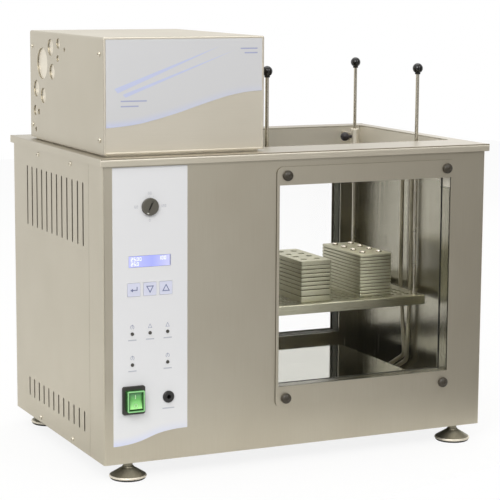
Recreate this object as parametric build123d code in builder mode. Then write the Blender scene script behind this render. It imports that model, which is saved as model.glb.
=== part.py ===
"""A see-through laboratory bath, built as it comes apart on a bench.

The cabinet is folded stainless sheet round a welded tank. A double window at the front and another
at the back let a lamp or a camera look through the liquid. The controls sit to the left of the front
window, and the stirrer, the main heater and the cooling loop hang from the housing above them.
A perforated shelf hangs in the tank from four rods and is locked by a clamp on one of them.

X runs to the right, Y to the back and Z up. The origin is on the floor, under the cabinet's middle.
"""
from build123d import *

import os
from math import cos, radians, sin

os.makedirs("parts", exist_ok=True)

# Overall sizes
width = 600.0               # cabinet, left side to right side
depth = 384.0               # cabinet, front face to back face
body_height = 422.0         # cabinet, bottom edge to deck top
foot_height = 23.5          # floor to the cabinet's bottom edge
sheet = 1.5                 # stainless sheet of the cabinet, the tank and the housing
slack = 0.3                 # gap round a piece that moves
overrun = 1.0               # how far a cut runs past the face that it goes through
running_fit = 0.05          # radial play of a shaft in its bearing

left, right = -width / 2, width / 2
front, back = -depth / 2, depth / 2
body_bottom = foot_height
deck_top = body_bottom + body_height

# Deck
deck_sheet = 2.0
deck_overhang = 4.3         # past the cabinet on every side
deck_lip = 10.5             # height of its turned-down edge
deck_bend = 2.4             # outside radius of the corners
deck_edge = 1.9             # outside radius of the bends along the top
opening_from_left, opening_from_right = 254.0, 16.0    # the cabinet's sides to the opening
opening_left, opening_right = left + opening_from_left, right - opening_from_right
opening_setback = 74.0                      # front face to the opening's front edge
opening_length = 282.0                      # the opening, front to back
opening_front = front + opening_setback
opening_back = opening_front + opening_length
opening_corner = 7.0
deck_under = deck_top - deck_sheet

# Tank
tank_side = 160.0           # the cabinet's left side to the inside of the tank's left wall
tank_setback = 30.0         # front face to the inside of the tank's front wall
tank_deep = 400.0           # deck top to tank floor
tank_left = left + tank_side
tank_front = front + tank_setback
tank_floor = deck_top - tank_deep
tank_right, tank_back = opening_right, opening_back

# Windows
clear_in_left, clear_in_right = 8.8, 43.2   # the deck opening's sides to the front window's clear size
clear_left, clear_right = opening_left + clear_in_left, opening_right - clear_in_right
clear_drop, clear_height = 46.9, 287.9      # deck top to the clear size, and its height
clear_top = deck_top - clear_drop
clear_bottom = clear_top - clear_height
rear_grow = 6.2                             # the rear window's clear size is larger by this all round
pane = 4.0
pane_lip = 3.5                              # how far a pane reaches past the clear size
pane_play = 0.4                             # gap round a pane in its tunnel
spacer_inset = 1.2                          # the spacer's inner faces stand back from the clear size
gasket = 1.0
plate_thick = 2.0
plate_corner = 9.0
front_edge_left, front_edge_right = 4.3, 9.2   # width of the front plate's four borders
front_edge_bottom, front_edge_top = 29.9, 25.9
rear_edge_side, rear_edge_bottom, rear_edge_top = 8.0, 27.0, 24.0

# Head housing
head_width, head_depth, head_rise = 237.7, 309.7, 160.5   # its top is head_rise above the deck's top
head_side, head_setback = 10.5, 22.0        # from the cabinet's left side and its front face
head_left = left + head_side
head_right = head_left + head_width
head_front = front + head_setback
head_back = head_front + head_depth
head_gap = 3.0                              # shadow gap under the housing
head_bottom = deck_top + head_gap
head_top = deck_top + head_rise

# Control strip
controls_side = 67.5                        # cabinet's left side to the strip's centre line
controls_x = left + controls_side
label_thick = 0.5
label_face = front - label_thick
key_drop, key_pitch = 180.0, 23.6           # drops are measured down from the deck's top
lamp_drops, lamp_pitch = (241.0, 284.0), 26.0
switch_shift, socket_shift = 25.0, 27.0     # to the left and to the right of the centre line
dial_drop, display_drop, switch_drop = 66.9, 141.5, 333.0
switch_x = controls_x - switch_shift
socket_x = controls_x + socket_shift

# Shelf and its rods
shelf_in_left, shelf_in_right = 31.5, 19.5  # the deck opening's sides to the shelf
shelf_left = opening_left + shelf_in_left
shelf_width = opening_right - shelf_in_right - shelf_left
shelf_depth = 224.0
shelf_setback, shelf_drop = 104.0, 240.0    # from the front face, and below the deck's top
shelf_front = front + shelf_setback
shelf_top = deck_top - shelf_drop
rod_inset = 13.5
rod_radius = 2.75
ball_radius = 7.8
ball_height = 105.6                         # ball centres above the deck's top

# Feet
foot_side = 39.0                            # foot axis from the cabinet's side
foot_front = 12.0                           # front foot axis from the front face
foot_back = 32.0                            # rear foot axis from the back face
pad_radius = 26.0
foot_stem = 5.0


def front_at(y):
    """A plane facing the user: sketches are in X and Z, and a positive extrusion comes forwards."""
    return Plane(origin=(0, y, 0), x_dir=(1, 0, 0), z_dir=(0, -1, 0))


def side_at(x):
    """A plane facing right: sketches are in Y and Z, and a positive extrusion goes right."""
    return Plane(origin=(x, 0, 0), x_dir=(0, 1, 0), z_dir=(1, 0, 0))


def block(low, high, mode=Mode.ADD):
    """Add or cut a box between its lowest and its highest corner."""
    middle = tuple((a + b) / 2 for a, b in zip(low, high))
    size = [b - a for a, b in zip(low, high)]
    with Locations(middle):
        Box(*size, mode=mode)


def rectangle(x0, x1, z0, z1, corner=0.0, mode=Mode.ADD):
    """Draw a rectangle between two corners in the sketch being made, with rounded corners if asked."""
    with Locations(((x0 + x1) / 2, (z0 + z1) / 2)):
        if corner > 0:
            RectangleRounded(x1 - x0, z1 - z0, corner, mode=mode)
        else:
            Rectangle(x1 - x0, z1 - z0, mode=mode)


# Window sizes, front and rear
# Each side has a face, a direction out of the cabinet, its clear rectangle and the tank face behind it.
windows = {
    "front": {
        "face": front, "out": -1, "tank": tank_front - sheet,
        "clear": (clear_left, clear_right, clear_bottom, clear_top),
        "margins": (front_edge_left, front_edge_right, front_edge_bottom, front_edge_top),
    },
    "rear": {
        "face": back, "out": 1, "tank": tank_back + sheet,
        "clear": (clear_left - rear_grow, clear_right + rear_grow,
                  clear_bottom - rear_grow, clear_top + rear_grow),
        "margins": (rear_edge_side, rear_edge_side, rear_edge_bottom, rear_edge_top),
    },
}
nut_inset = 16.3                            # cap nuts, from the window plate's left and right edges
nut_rise = 12.4                             # cap nuts, from the window plate's top and bottom edges
stud_radius = 2.5
stud_hole = 3.0


def grown(rect, by):
    """A rectangle made larger by the same amount on every side."""
    x0, x1, z0, z1 = rect
    return (x0 - by, x1 + by, z0 - by, z1 + by)


def plate_rect(window):
    """The outline of a window plate: the clear rectangle and its margins."""
    x0, x1, z0, z1 = window["clear"]
    margin_left, margin_right, margin_bottom, margin_top = window["margins"]
    return (x0 - margin_left, x1 + margin_right, z0 - margin_bottom, z1 + margin_top)


def nut_places(window):
    """The four cap nuts of a window, as X and Z."""
    x0, x1, z0, z1 = plate_rect(window)
    return [(x, z) for x in (x0 + nut_inset, x1 - nut_inset) for z in (z0 + nut_rise, z1 - nut_rise)]


tunnel_play = pane_lip + pane_play          # a tunnel's inside, past the clear size
hatch_inset = 10.0                          # deck hole under the housing, from the tank's left wall
hatch_border = 16.0                         # from the housing's front and back
hatch_left, hatch_right = tank_left + hatch_inset, head_right - hatch_inset
hatch_front, hatch_back = head_front + hatch_border, head_back - hatch_border
hatch_x = (hatch_left + hatch_right) / 2
hatch_length = hatch_back - hatch_front

# Stirrer, main heater and probe, which share the hatch
stirrer_side = 47.0                         # the tank's left wall to the stirrer's shaft
stirrer_x = tank_left + stirrer_side
probe_share, stirrer_share, heater_share = 0.115, 0.4, 0.76     # places along the hatch, from its front
probe_y = hatch_front + probe_share * hatch_length
stirrer_y = hatch_front + stirrer_share * hatch_length
flange_y = hatch_front + heater_share * hatch_length
shaft_radius = 4.0

# Deck
with BuildPart() as deck:
    with BuildSketch(Plane.XY.offset(deck_top - deck_lip)):
        Rectangle(width + 2 * deck_overhang, depth + 2 * deck_overhang)
    extrude(amount=deck_lip)
    fillet(deck.edges().filter_by(Axis.Z), deck_bend)
    fillet(deck.faces().sort_by(Axis.Z)[-1].edges(), deck_edge)
    with BuildSketch(Plane.XY.offset(deck_top - deck_lip)):
        Rectangle(width + 2 * (deck_overhang - deck_sheet), depth + 2 * (deck_overhang - deck_sheet))
    extrude(amount=deck_lip - deck_sheet, mode=Mode.SUBTRACT)
    with BuildSketch(Plane.XY.offset(deck_under - overrun)):
        rectangle(opening_left, opening_right, opening_front, opening_back, opening_corner)
        rectangle(hatch_left, hatch_right, hatch_front, hatch_back, opening_corner)
    extrude(amount=deck_sheet + 2 * overrun, mode=Mode.SUBTRACT)
deck.part.label = "deck"
export_step(deck.part, "parts/deck.step")

# Front panel: its ends wrap round the corners, ahead of the side panels
corner_wrap = 55.0
corner_bend = 3.0
dial_hole = 3.6
display_size = (61.2, 15.0)
display_play = 0.4
key_size = (18.5, 18.2)
key_corner = 1.2
lamp_radius = 2.25
lamp_hole = 2.5
switch_sleeve = (28.0, 34.0)
socket_sleeve = 6.2
lamp_places = [(controls_x - lamp_pitch, lamp_drops[0]), (controls_x, lamp_drops[0]),
               (controls_x + lamp_pitch, lamp_drops[0]), (controls_x - lamp_pitch, lamp_drops[1]),
               (controls_x + lamp_pitch, lamp_drops[1])]
key_places = {"key_enter": controls_x - key_pitch, "key_down": controls_x,
              "key_up": controls_x + key_pitch}


def control_holes():
    """The holes that the control strip and the panel behind it share, in the sketch being made."""
    with Locations((controls_x, deck_top - dial_drop)):
        Circle(dial_hole)
    with Locations((controls_x, deck_top - display_drop)):
        Rectangle(display_size[0] + 2 * display_play, display_size[1] + 2 * display_play)
    with Locations([(x, deck_top - key_drop) for x in key_places.values()]):
        RectangleRounded(key_size[0] + 2 * slack, key_size[1] + 2 * slack, key_corner)
    with Locations([(x, deck_top - drop) for x, drop in lamp_places]):
        Circle(lamp_hole)
    with Locations((switch_x, deck_top - switch_drop)):
        Rectangle(*switch_sleeve)
    with Locations((socket_x, deck_top - switch_drop)):
        Circle(socket_sleeve)


with BuildPart() as front_panel:
    with BuildSketch(Plane.XY.offset(body_bottom)):
        rectangle(left, right, front, front + corner_wrap)
    extrude(amount=deck_under - body_bottom)
    bends = front_panel.edges().filter_by(Axis.Z).group_by(Axis.Y)[0]
    fillet(bends, corner_bend)
    with BuildSketch(Plane.XY.offset(body_bottom - overrun)):
        rectangle(left + sheet, right - sheet, front + sheet, front + corner_wrap + overrun)
    extrude(amount=deck_under - body_bottom + 2 * overrun, mode=Mode.SUBTRACT)
    with BuildSketch(front_at(front + sheet + overrun)):
        rectangle(*grown(windows["front"]["clear"], tunnel_play))
        with Locations(nut_places(windows["front"])):
            Circle(stud_hole)
        control_holes()
    extrude(amount=sheet + 2 * overrun, mode=Mode.SUBTRACT)
front_panel.part.label = "front_panel"
export_step(front_panel.part, "parts/front_panel.step")

# Case screws, which hold the side panels and the housing
screw_head = 3.6
screw_rise = 1.8
screw_crown = 2.3                           # radius of the head's flat front
quarter_turn = 90.0
side_screw_front, side_screw_pitch = 129.0, 141.0
side_screw_high, side_screw_low = 18.7, 414.5   # below the deck's top
side_screw_places = [(front + side_screw_front + number * side_screw_pitch, deck_top - drop)
                     for number in range(2) for drop in (side_screw_high, side_screw_low)]

# Side panels: the left one is slotted for the electronics, upper and lower rows
seam = 0.5                                  # gap between neighbouring panels
slot_count = 12
slot_pitch = 22.05
slot_width = 4.6
slot_setback = 78.0                         # front face to the centre of the front slot
slot_rows = ((39.3, 128.5), (362.0, 391.0))  # top and bottom of each row, below the deck's top
side_front = front + corner_wrap + seam
for name, x in (("left_side_panel", left), ("right_side_panel", right - sheet)):
    with BuildPart() as side_panel:
        block((x, side_front, body_bottom), (x + sheet, back, deck_under))
        if name == "left_side_panel":
            for top, bottom in slot_rows:
                with BuildSketch(side_at(x - overrun)):
                    slots_middle = (front + slot_setback + slot_pitch * (slot_count - 1) / 2,
                                    deck_top - (top + bottom) / 2)
                    with Locations(slots_middle):
                        with GridLocations(slot_pitch, bottom - top, slot_count, 1):
                            Rectangle(slot_width, bottom - top)
                extrude(amount=sheet + 2 * overrun, mode=Mode.SUBTRACT)
    side_panel.part.label = name
    export_step(side_panel.part, f"parts/{name}.step")

# Back panel: rear window, mains inlet and drain
inlet_side, inlet_rise = 70.0, 60.0         # from the cabinet's left side and its bottom edge
inlet_x = left + inlet_side
inlet_z = body_bottom + inlet_rise
inlet_body = (27.6, 20.6)
drain_x = stirrer_x
drain_rise = 16.0                           # tank floor to the drain's axis
drain_z = tank_floor + drain_rise
drain_radius = 10.4                         # of the spigot that takes a hose
drain_body = 12.5                           # of the fitting between the tank and the back panel
drain_step = 1.0                            # the body ends this far behind the panel
drain_bore = 7.0
drain_play = 0.4
with BuildPart() as back_panel:
    block((left + sheet, back - sheet, body_bottom), (right - sheet, back, deck_under))
    with BuildSketch(front_at(back + overrun)):
        rectangle(*grown(windows["rear"]["clear"], tunnel_play))
        with Locations(nut_places(windows["rear"])):
            Circle(stud_hole)
        with Locations((inlet_x, inlet_z)):
            Rectangle(*inlet_body)
        with Locations((drain_x, drain_z)):
            Circle(drain_body + drain_play)
    extrude(amount=-(sheet + 2 * overrun), both=True, mode=Mode.SUBTRACT)
back_panel.part.label = "back_panel"
export_step(back_panel.part, "parts/back_panel.step")

# Base plate, between the panels, with a hole for each foot bush
base_thick = 2.0
bush_radius = 9.0
foot_places = {
    "front_left": (left + foot_side, front + foot_front),
    "front_right": (right - foot_side, front + foot_front),
    "back_left": (left + foot_side, back - foot_back),
    "back_right": (right - foot_side, back - foot_back),
}
with BuildPart() as base_plate:
    block((left + sheet, front + sheet, body_bottom),
          (right - sheet, back - sheet, body_bottom + base_thick))
    with BuildSketch(Plane.XY.offset(body_bottom - overrun)):
        with Locations(list(foot_places.values())):
            Circle(bush_radius)
    extrude(amount=base_thick + 2 * overrun, mode=Mode.SUBTRACT)
base_plate.part.label = "base_plate"
export_step(base_plate.part, "parts/base_plate.step")

# Foot bushes: threaded inserts, pressed into the base plate
bush_height = 16.0
with BuildPart() as foot_bushes:
    with BuildSketch(Plane.XY.offset(body_bottom)):
        with Locations(list(foot_places.values())):
            Circle(bush_radius)
            Circle(foot_stem + running_fit, mode=Mode.SUBTRACT)
    extrude(amount=bush_height)
foot_bushes.part.label = "foot_bushes"
export_step(foot_bushes.part, "parts/foot_bushes.step")

# Levelling feet: threaded stem, pressed steel cone and a rubber ring under it
# At rest each stem is screwed right in, so the cone's neck bears on its bush.
stem_top = body_bottom + bush_height - slack
pad_rim = 5.4                               # height of the straight rim above the floor
rubber_height = 2.6
neck_radius = 6.5
neck_height = 6.5
cone_top_radius = 8.0
pad_lip = 1.2                               # the rubber stands back from the rim by this
neck_bottom = foot_height - neck_height
for place, (x, y) in foot_places.items():
    with BuildPart() as foot:
        with BuildSketch(Plane(origin=(x, y, 0), x_dir=(1, 0, 0), z_dir=(0, -1, 0))):
            with BuildLine():
                Polyline((0, 0), (pad_radius - pad_lip, 0), (pad_radius - pad_lip, rubber_height),
                         (pad_radius, rubber_height), (pad_radius, pad_rim))
                Line((pad_radius, pad_rim), (cone_top_radius, neck_bottom))
                Polyline((cone_top_radius, neck_bottom), (neck_radius, neck_bottom),
                         (neck_radius, foot_height), (foot_stem, foot_height), (foot_stem, stem_top),
                         (0, stem_top), (0, 0))
            make_face()
        revolve(axis=Axis((x, y, 0), (0, 0, 1)))
    foot.part.label = f"foot_{place}"
    export_step(foot.part, f"parts/foot_{place}.step")

# Tank: folded and welded, open at the top, with a window hole in its front and back walls
with BuildPart() as tank:
    block((tank_left - sheet, tank_front - sheet, tank_floor - sheet),
          (tank_right + sheet, tank_back + sheet, deck_under))
    block((tank_left, tank_front, tank_floor), (tank_right, tank_back, deck_under + overrun),
          mode=Mode.SUBTRACT)
    for window in windows.values():
        with BuildSketch(front_at(window["tank"])):
            rectangle(*grown(window["clear"], spacer_inset))
        extrude(amount=2 * sheet, both=True, mode=Mode.SUBTRACT)
    with BuildSketch(front_at(tank_back + sheet + overrun)):
        with Locations((drain_x, drain_z)):
            Circle(drain_bore)
    extrude(amount=sheet + 2 * overrun, mode=Mode.SUBTRACT)
tank.part.label = "tank"
export_step(tank.part, "parts/tank.step")

# Insulation: one slab under the tank and one between its right wall and the side panel
with BuildPart() as insulation:
    block((tank_left, tank_front, body_bottom + base_thick),
          (right - foot_side - bush_radius - slack, back - foot_back - bush_radius - slack,
           tank_floor - sheet))
    block((tank_right + sheet, tank_front, tank_floor - sheet),
          (right - sheet, tank_back, deck_under - deck_lip))
insulation.part.label = "insulation"
export_step(insulation.part, "parts/insulation.step")

# Windows: plate, two panes, the spacer between them, a gasket against the tank, and a tunnel round all
with BuildPart() as window_tunnels:
    for window in windows.values():
        inside = grown(window["clear"], tunnel_play)
        panel_inner = window["face"] - window["out"] * sheet
        with BuildSketch(front_at(panel_inner)):
            rectangle(*grown(inside, sheet))
            rectangle(*inside, mode=Mode.SUBTRACT)
        extrude(amount=panel_inner - window["tank"])
window_tunnels.part.label = "window_tunnels"
export_step(window_tunnels.part, "parts/window_tunnels.step")

pane_place = {}                             # where each window's inner pane starts and ends, along Y
with BuildPart() as window_spacers:
    for side, window in windows.items():
        inward = -window["out"]
        outer_pane_end = window["face"] + inward * pane
        inner_pane_end = window["tank"] - inward * gasket
        pane_place[side] = (inner_pane_end - inward * pane, inner_pane_end)
        with BuildSketch(front_at(outer_pane_end)):
            rectangle(*grown(window["clear"], pane_lip))
            rectangle(*grown(window["clear"], spacer_inset), mode=Mode.SUBTRACT)
        extrude(amount=outer_pane_end - pane_place[side][0])
window_spacers.part.label = "window_spacers"
export_step(window_spacers.part, "parts/window_spacers.step")

with BuildPart() as window_gaskets:
    for side, window in windows.items():
        with BuildSketch(front_at(window["tank"])):
            rectangle(*grown(window["clear"], pane_lip))
            rectangle(*grown(window["clear"], spacer_inset), mode=Mode.SUBTRACT)
        extrude(amount=window["tank"] - pane_place[side][1])
window_gaskets.part.label = "window_gaskets"
export_step(window_gaskets.part, "parts/window_gaskets.step")

with BuildPart() as window_panes:
    for side, window in windows.items():
        for start in (window["face"], pane_place[side][0]):
            with BuildSketch(front_at(start)):
                rectangle(*grown(window["clear"], pane_lip))
            extrude(amount=window["out"] * pane)
window_panes.part.label = "window_panes"
export_step(window_panes.part, "parts/window_panes.step")

for side, window in windows.items():
    with BuildPart() as plate:
        with BuildSketch(front_at(window["face"])):
            rectangle(*plate_rect(window), corner=plate_corner)
            rectangle(*window["clear"], mode=Mode.SUBTRACT)
            with Locations(nut_places(window)):
                Circle(stud_hole, mode=Mode.SUBTRACT)
        extrude(amount=-window["out"] * plate_thick)
    plate.part.label = f"{side}_window_plate"
    export_step(plate.part, f"parts/{side}_window_plate.step")

# Window cap nuts: a low dome with a flat crown, and the stud behind it
nut_radius = 7.5
nut_height = 7.0
nut_edge = 2.4                              # straight edge under the dome
nut_crown = 2.6                             # radius of the flat
nut_out_share, nut_up_share = 0.78, 0.8     # a point half way over the dome
stud_past = 2.0                             # length of stud past the sheet
stud_length = plate_thick + sheet + stud_past
with BuildPart() as window_cap_nuts:
    for window in windows.values():
        seat = window["face"] + window["out"] * plate_thick
        for x, z in nut_places(window):
            with BuildSketch(Plane(origin=(x, seat, z), x_dir=(1, 0, 0), z_dir=(0, 0, window["out"]))):
                with BuildLine():
                    Polyline((0, -stud_length), (stud_radius, -stud_length), (stud_radius, 0),
                             (nut_radius, 0), (nut_radius, nut_edge))
                    Polyline((nut_radius, nut_edge), (nut_radius * nut_out_share, nut_height * nut_up_share),
                             (nut_crown, nut_height), (0, nut_height), (0, -stud_length))
                make_face()
            revolve(axis=Axis((x, seat, z), (0, 1, 0)))
window_cap_nuts.part.label = "window_cap_nuts"
export_step(window_cap_nuts.part, "parts/window_cap_nuts.step")

# False bottom: the plate that the stirrer drives the liquid under, on four legs
false_bottom_rise = 46.5                    # its top, above the tank's floor
false_bottom_top = tank_floor + false_bottom_rise
false_bottom_thick = 2.0
false_bottom_left_gap, false_bottom_right_gap = 6.0, 56.0   # from the opening's left and right edges
false_bottom_left = opening_left + false_bottom_left_gap
false_bottom_right = opening_right - false_bottom_right_gap
false_bottom_front_gap, false_bottom_back_gap = 4.0, 46.0   # from the tank's front and back walls
leg_radius = 5.0
leg_inset = 22.0
with BuildPart() as false_bottom:
    low_y, high_y = tank_front + false_bottom_front_gap, tank_back - false_bottom_back_gap
    block((false_bottom_left, low_y, false_bottom_top - false_bottom_thick),
          (false_bottom_right, high_y, false_bottom_top))
    fillet(false_bottom.edges().filter_by(Axis.Z), plate_corner)
    with BuildSketch(Plane.XY.offset(tank_floor)):
        with Locations([(x, y) for x in (false_bottom_left + leg_inset, false_bottom_right - leg_inset)
                        for y in (low_y + leg_inset, high_y - leg_inset)]):
            Circle(leg_radius)
    extrude(amount=false_bottom_top - false_bottom_thick - tank_floor)
false_bottom.part.label = "false_bottom"
export_step(false_bottom.part, "parts/false_bottom.step")

# Flow baffle: a punched wall between the stirrer's bay and the viewing bay
baffle_drop = 24.0                          # its top edge, below the deck's top
baffle_top = deck_top - baffle_drop
baffle_hole, baffle_sides = 11.0, 8
baffle_pitch = (58.0, 60.0)
baffle_counts = (5, 5)
with BuildPart() as flow_baffle:
    block((opening_left, tank_front, false_bottom_top - false_bottom_thick),
          (opening_left + sheet, tank_back, baffle_top))
    with BuildSketch(side_at(opening_left - overrun)):
        with Locations(((tank_front + tank_back) / 2, (false_bottom_top + baffle_top) / 2)):
            with GridLocations(*baffle_pitch, *baffle_counts):
                RegularPolygon(baffle_hole, baffle_sides)
    extrude(amount=sheet + 2 * overrun, mode=Mode.SUBTRACT)
flow_baffle.part.label = "flow_baffle"
export_step(flow_baffle.part, "parts/flow_baffle.step")

# Side heaters: two sheathed rods that hang down the right wall and turn under the false bottom
sheath_radius = 3.25
heater_gap, heater_drop, heater_setback = 8.0, 14.0, 202.0   # from the tank's wall, deck top, front face
heater_x = tank_right - heater_gap
heater_top = deck_top - heater_drop
heater_y = front + heater_setback
heater_spread = 30.0                        # between the rods at the top
heater_close = 7.5                          # between the rods where they turn
heater_knee_drop, heater_turn_drop = 232.0, 350.0
heater_foot_run, heater_foot_drop = 58.0, 34.0
heater_foot_shift = 5.0
heater_bend = 12.0
heater_lean = 16.0                          # how far the rods come forwards on their way down
heater_turn_y = heater_y - heater_lean
clip_thick = 3.0
clip_drop = 22.0
clip_margin = 8.0
with BuildPart() as side_heaters:
    for top_y, turn_y, sink in ((heater_y, heater_turn_y, 0.0),
                                (heater_y - heater_spread, heater_turn_y - heater_close, heater_close)):
        turn_z = deck_top - heater_turn_drop - sink
        with BuildLine() as route:
            FilletPolyline(
                (heater_x, top_y, heater_top),
                (heater_x, top_y, deck_top - heater_knee_drop),
                (heater_x, turn_y, turn_z),
                (heater_x - heater_foot_shift, turn_y + heater_foot_run, turn_z - heater_foot_drop),
                radius=heater_bend,
            )
        with BuildSketch(Plane(origin=route.line @ 0, z_dir=route.line % 0)):
            Circle(sheath_radius)
        sweep(path=route.line)
side_heaters.part.label = "side_heaters"
export_step(side_heaters.part, "parts/side_heaters.step")

with BuildPart() as heater_clip:
    block((heater_x - sheath_radius - clip_thick, heater_y - heater_spread - clip_margin,
           deck_top - clip_drop - clip_thick),
          (tank_right, heater_y + clip_margin, deck_top - clip_drop))
    with BuildSketch(Plane.XY.offset(deck_top - clip_drop - clip_thick - overrun)):
        with Locations((heater_x, heater_y), (heater_x, heater_y - heater_spread)):
            Circle(sheath_radius + running_fit)
    extrude(amount=clip_thick + 2 * overrun, mode=Mode.SUBTRACT)
heater_clip.part.label = "heater_clip"
export_step(heater_clip.part, "parts/heater_clip.step")

# Head housing: a folded floor with a tall left flange, a cover over it, and a plate in each end
step_inset = 6.0                            # the step under the floor stands back from the housing
floor_thick = 3.0
floor_top = head_bottom + floor_thick
liner_gap = 3.0                             # between the cover's left side and the floor's left flange
liner_drop = 12.0                           # the flange ends this far under the cover's top
cover_bend = 3.0
end_gap = 0.6                               # between an end plate and the cover's sides
end_flange = 26.0
cover_play = 0.1                            # the floor between the cover's sides
cover_inside = (head_left + sheet, head_right - sheet)
with BuildPart() as head_base:
    block((head_left + step_inset, head_front + step_inset, deck_top),
          (head_right - step_inset, head_back - step_inset, head_bottom))
    block((cover_inside[0] + cover_play, head_front + sheet + cover_play, head_bottom),
          (cover_inside[1] - cover_play, head_back - sheet - cover_play, floor_top))
    block((cover_inside[0] + liner_gap, head_front + end_flange + slack, floor_top),
          (cover_inside[0] + liner_gap + sheet, head_back - end_flange - slack, head_top - liner_drop))
    with BuildSketch(Plane.XY.offset(deck_top - overrun)):
        rectangle(hatch_left, hatch_right, hatch_front, hatch_back, opening_corner)
    extrude(amount=floor_top - deck_top + 2 * overrun, mode=Mode.SUBTRACT)
head_base.part.label = "head_base"
export_step(head_base.part, "parts/head_base.step")

# The cover's left side is pierced with a cluster of round vents
# Each has its place along the housing's depth and up its height, and its radius as a share of the height.
vent_shares = [(0.822, 0.710, 0.143), (0.702, 0.865, 0.075), (0.593, 0.906, 0.046), (0.508, 0.858, 0.018),
               (0.601, 0.773, 0.029), (0.682, 0.648, 0.070), (0.912, 0.473, 0.076), (0.813, 0.419, 0.069),
               (0.931, 0.270, 0.047), (0.879, 0.264, 0.027), (0.924, 0.095, 0.022)]
head_screw_front, head_screw_back = 16.7, 8.7    # from the housing's front and back
head_screw_low, head_screw_high = 21.4, 137.7    # above the deck's top
head_screw_places = [(y, deck_top + z) for y in (head_front + head_screw_front, head_back - head_screw_back)
                     for z in (head_screw_low, head_screw_high)]
with BuildPart() as head_cover:
    block((head_left, head_front, head_bottom), (head_right, head_back, head_top))
    tops = head_cover.faces().sort_by(Axis.Z)[-1].edges().filter_by(Axis.Y)
    fillet(tops, cover_bend)
    block((cover_inside[0], head_front - overrun, head_bottom - overrun),
          (cover_inside[1], head_back + overrun, head_top - sheet), mode=Mode.SUBTRACT)
    with BuildSketch(side_at(head_left - overrun)):
        for along, up, radius in vent_shares:
            with Locations((head_front + along * head_depth, deck_top + up * head_rise)):
                Circle(radius * head_rise)
    extrude(amount=sheet + 2 * overrun, mode=Mode.SUBTRACT)
head_cover.part.label = "head_cover"
export_step(head_cover.part, "parts/head_cover.step")

# Cooling loop and its two hose nozzles through the back plate
tube_radius = 4.0
tube_bore = 2.8
nozzle_reach = 25.0                         # behind the housing
nozzle_rise = 40.0                          # above the deck's top
barb_radius = 5.0
barb_length = 3.0
barb_set = 4.0                              # from the nozzle's end
loop_gap = 5.0                              # between the tube and the hatch's back edge
loop_spread = 40.0                          # between the two legs
loop_drop = 200.0
loop_bend = 12.0
header_radius, header_past = 5.0, 8.0       # of the pipe that joins the two legs at the bottom
loop_y = hatch_back - tube_radius - loop_gap
loop_legs = (hatch_x - loop_spread / 2, hatch_x + loop_spread / 2)
nozzle_end = head_back + nozzle_reach
nozzle_z = deck_top + nozzle_rise

for name, face, outward in (("head_front_plate", head_front, -1), ("head_back_plate", head_back, 1)):
    inward = -outward
    plate_left, plate_right = cover_inside[0] + end_gap, cover_inside[1] - end_gap
    with BuildPart() as end_plate:
        for low_x, high_x, reach in ((plate_left, plate_right, sheet),
                                     (plate_left, plate_left + sheet, end_flange),
                                     (plate_right - sheet, plate_right, end_flange)):
            ends = sorted((face, face + inward * reach))
            bottom = head_bottom if reach == sheet else floor_top
            block((low_x, ends[0], bottom), (high_x, ends[1], head_top - sheet - end_gap))
        if outward > 0:
            with BuildSketch(front_at(face + overrun)):
                with Locations([(x, nozzle_z) for x in loop_legs]):
                    Circle(tube_radius + running_fit)
            extrude(amount=sheet + 2 * overrun, mode=Mode.SUBTRACT)
    end_plate.part.label = name
    export_step(end_plate.part, f"parts/{name}.step")

with BuildPart() as cooling_loop:
    for x in loop_legs:
        with BuildLine() as route:
            FilletPolyline((x, nozzle_end, nozzle_z), (x, loop_y, nozzle_z),
                           (x, loop_y, deck_top - loop_drop), radius=loop_bend)
        with BuildSketch(Plane(origin=route.line @ 0, z_dir=route.line % 0)):
            Circle(tube_radius)
        sweep(path=route.line)
    with BuildSketch(side_at(loop_legs[0] - header_past)):
        with Locations((loop_y, deck_top - loop_drop)):
            Circle(header_radius)
    extrude(amount=loop_spread + 2 * header_past)
    with BuildSketch(front_at(nozzle_end - barb_set)):
        with Locations([(x, nozzle_z) for x in loop_legs]):
            Circle(barb_radius)
    extrude(amount=barb_length)
    with BuildSketch(front_at(nozzle_end)):
        with Locations([(x, nozzle_z) for x in loop_legs]):
            Circle(tube_bore)
    extrude(amount=nozzle_reach, mode=Mode.SUBTRACT)
cooling_loop.part.label = "cooling_loop"
export_step(cooling_loop.part, "parts/cooling_loop.step")

# Printed label on the housing's front plate, with a curved lower edge
head_label_thick = 0.4
head_label_drop = 3.0                       # from the top of the housing
head_label_top = head_top - head_label_drop
head_label_edge = 1.0                       # from the plate's left and right edges
head_wave_low, head_wave_high = 40.2, 85.0  # the curve's left and right ends, above the deck's top
head_across_shares = (0.0, 0.345, 0.6, 0.793, 1.0)  # points of the curve, across the label
head_up_shares = (0.0, 0.114, 0.533, 0.924, 1.0)    # and up, between its two ends
with BuildPart() as head_label:
    label_left = cover_inside[0] + end_gap + head_label_edge
    label_right = cover_inside[1] - end_gap - head_label_edge
    wave = [(label_left + across * (label_right - label_left),
             deck_top + head_wave_low + up * (head_wave_high - head_wave_low))
            for across, up in zip(head_across_shares, head_up_shares)]
    with BuildSketch(front_at(head_front)):
        with BuildLine():
            Spline(*wave)
            Polyline(wave[-1], (label_right, head_label_top), (label_left, head_label_top), wave[0])
        make_face()
    extrude(amount=head_label_thick)
head_label.part.label = "head_label"
export_step(head_label.part, "parts/head_label.step")

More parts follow.
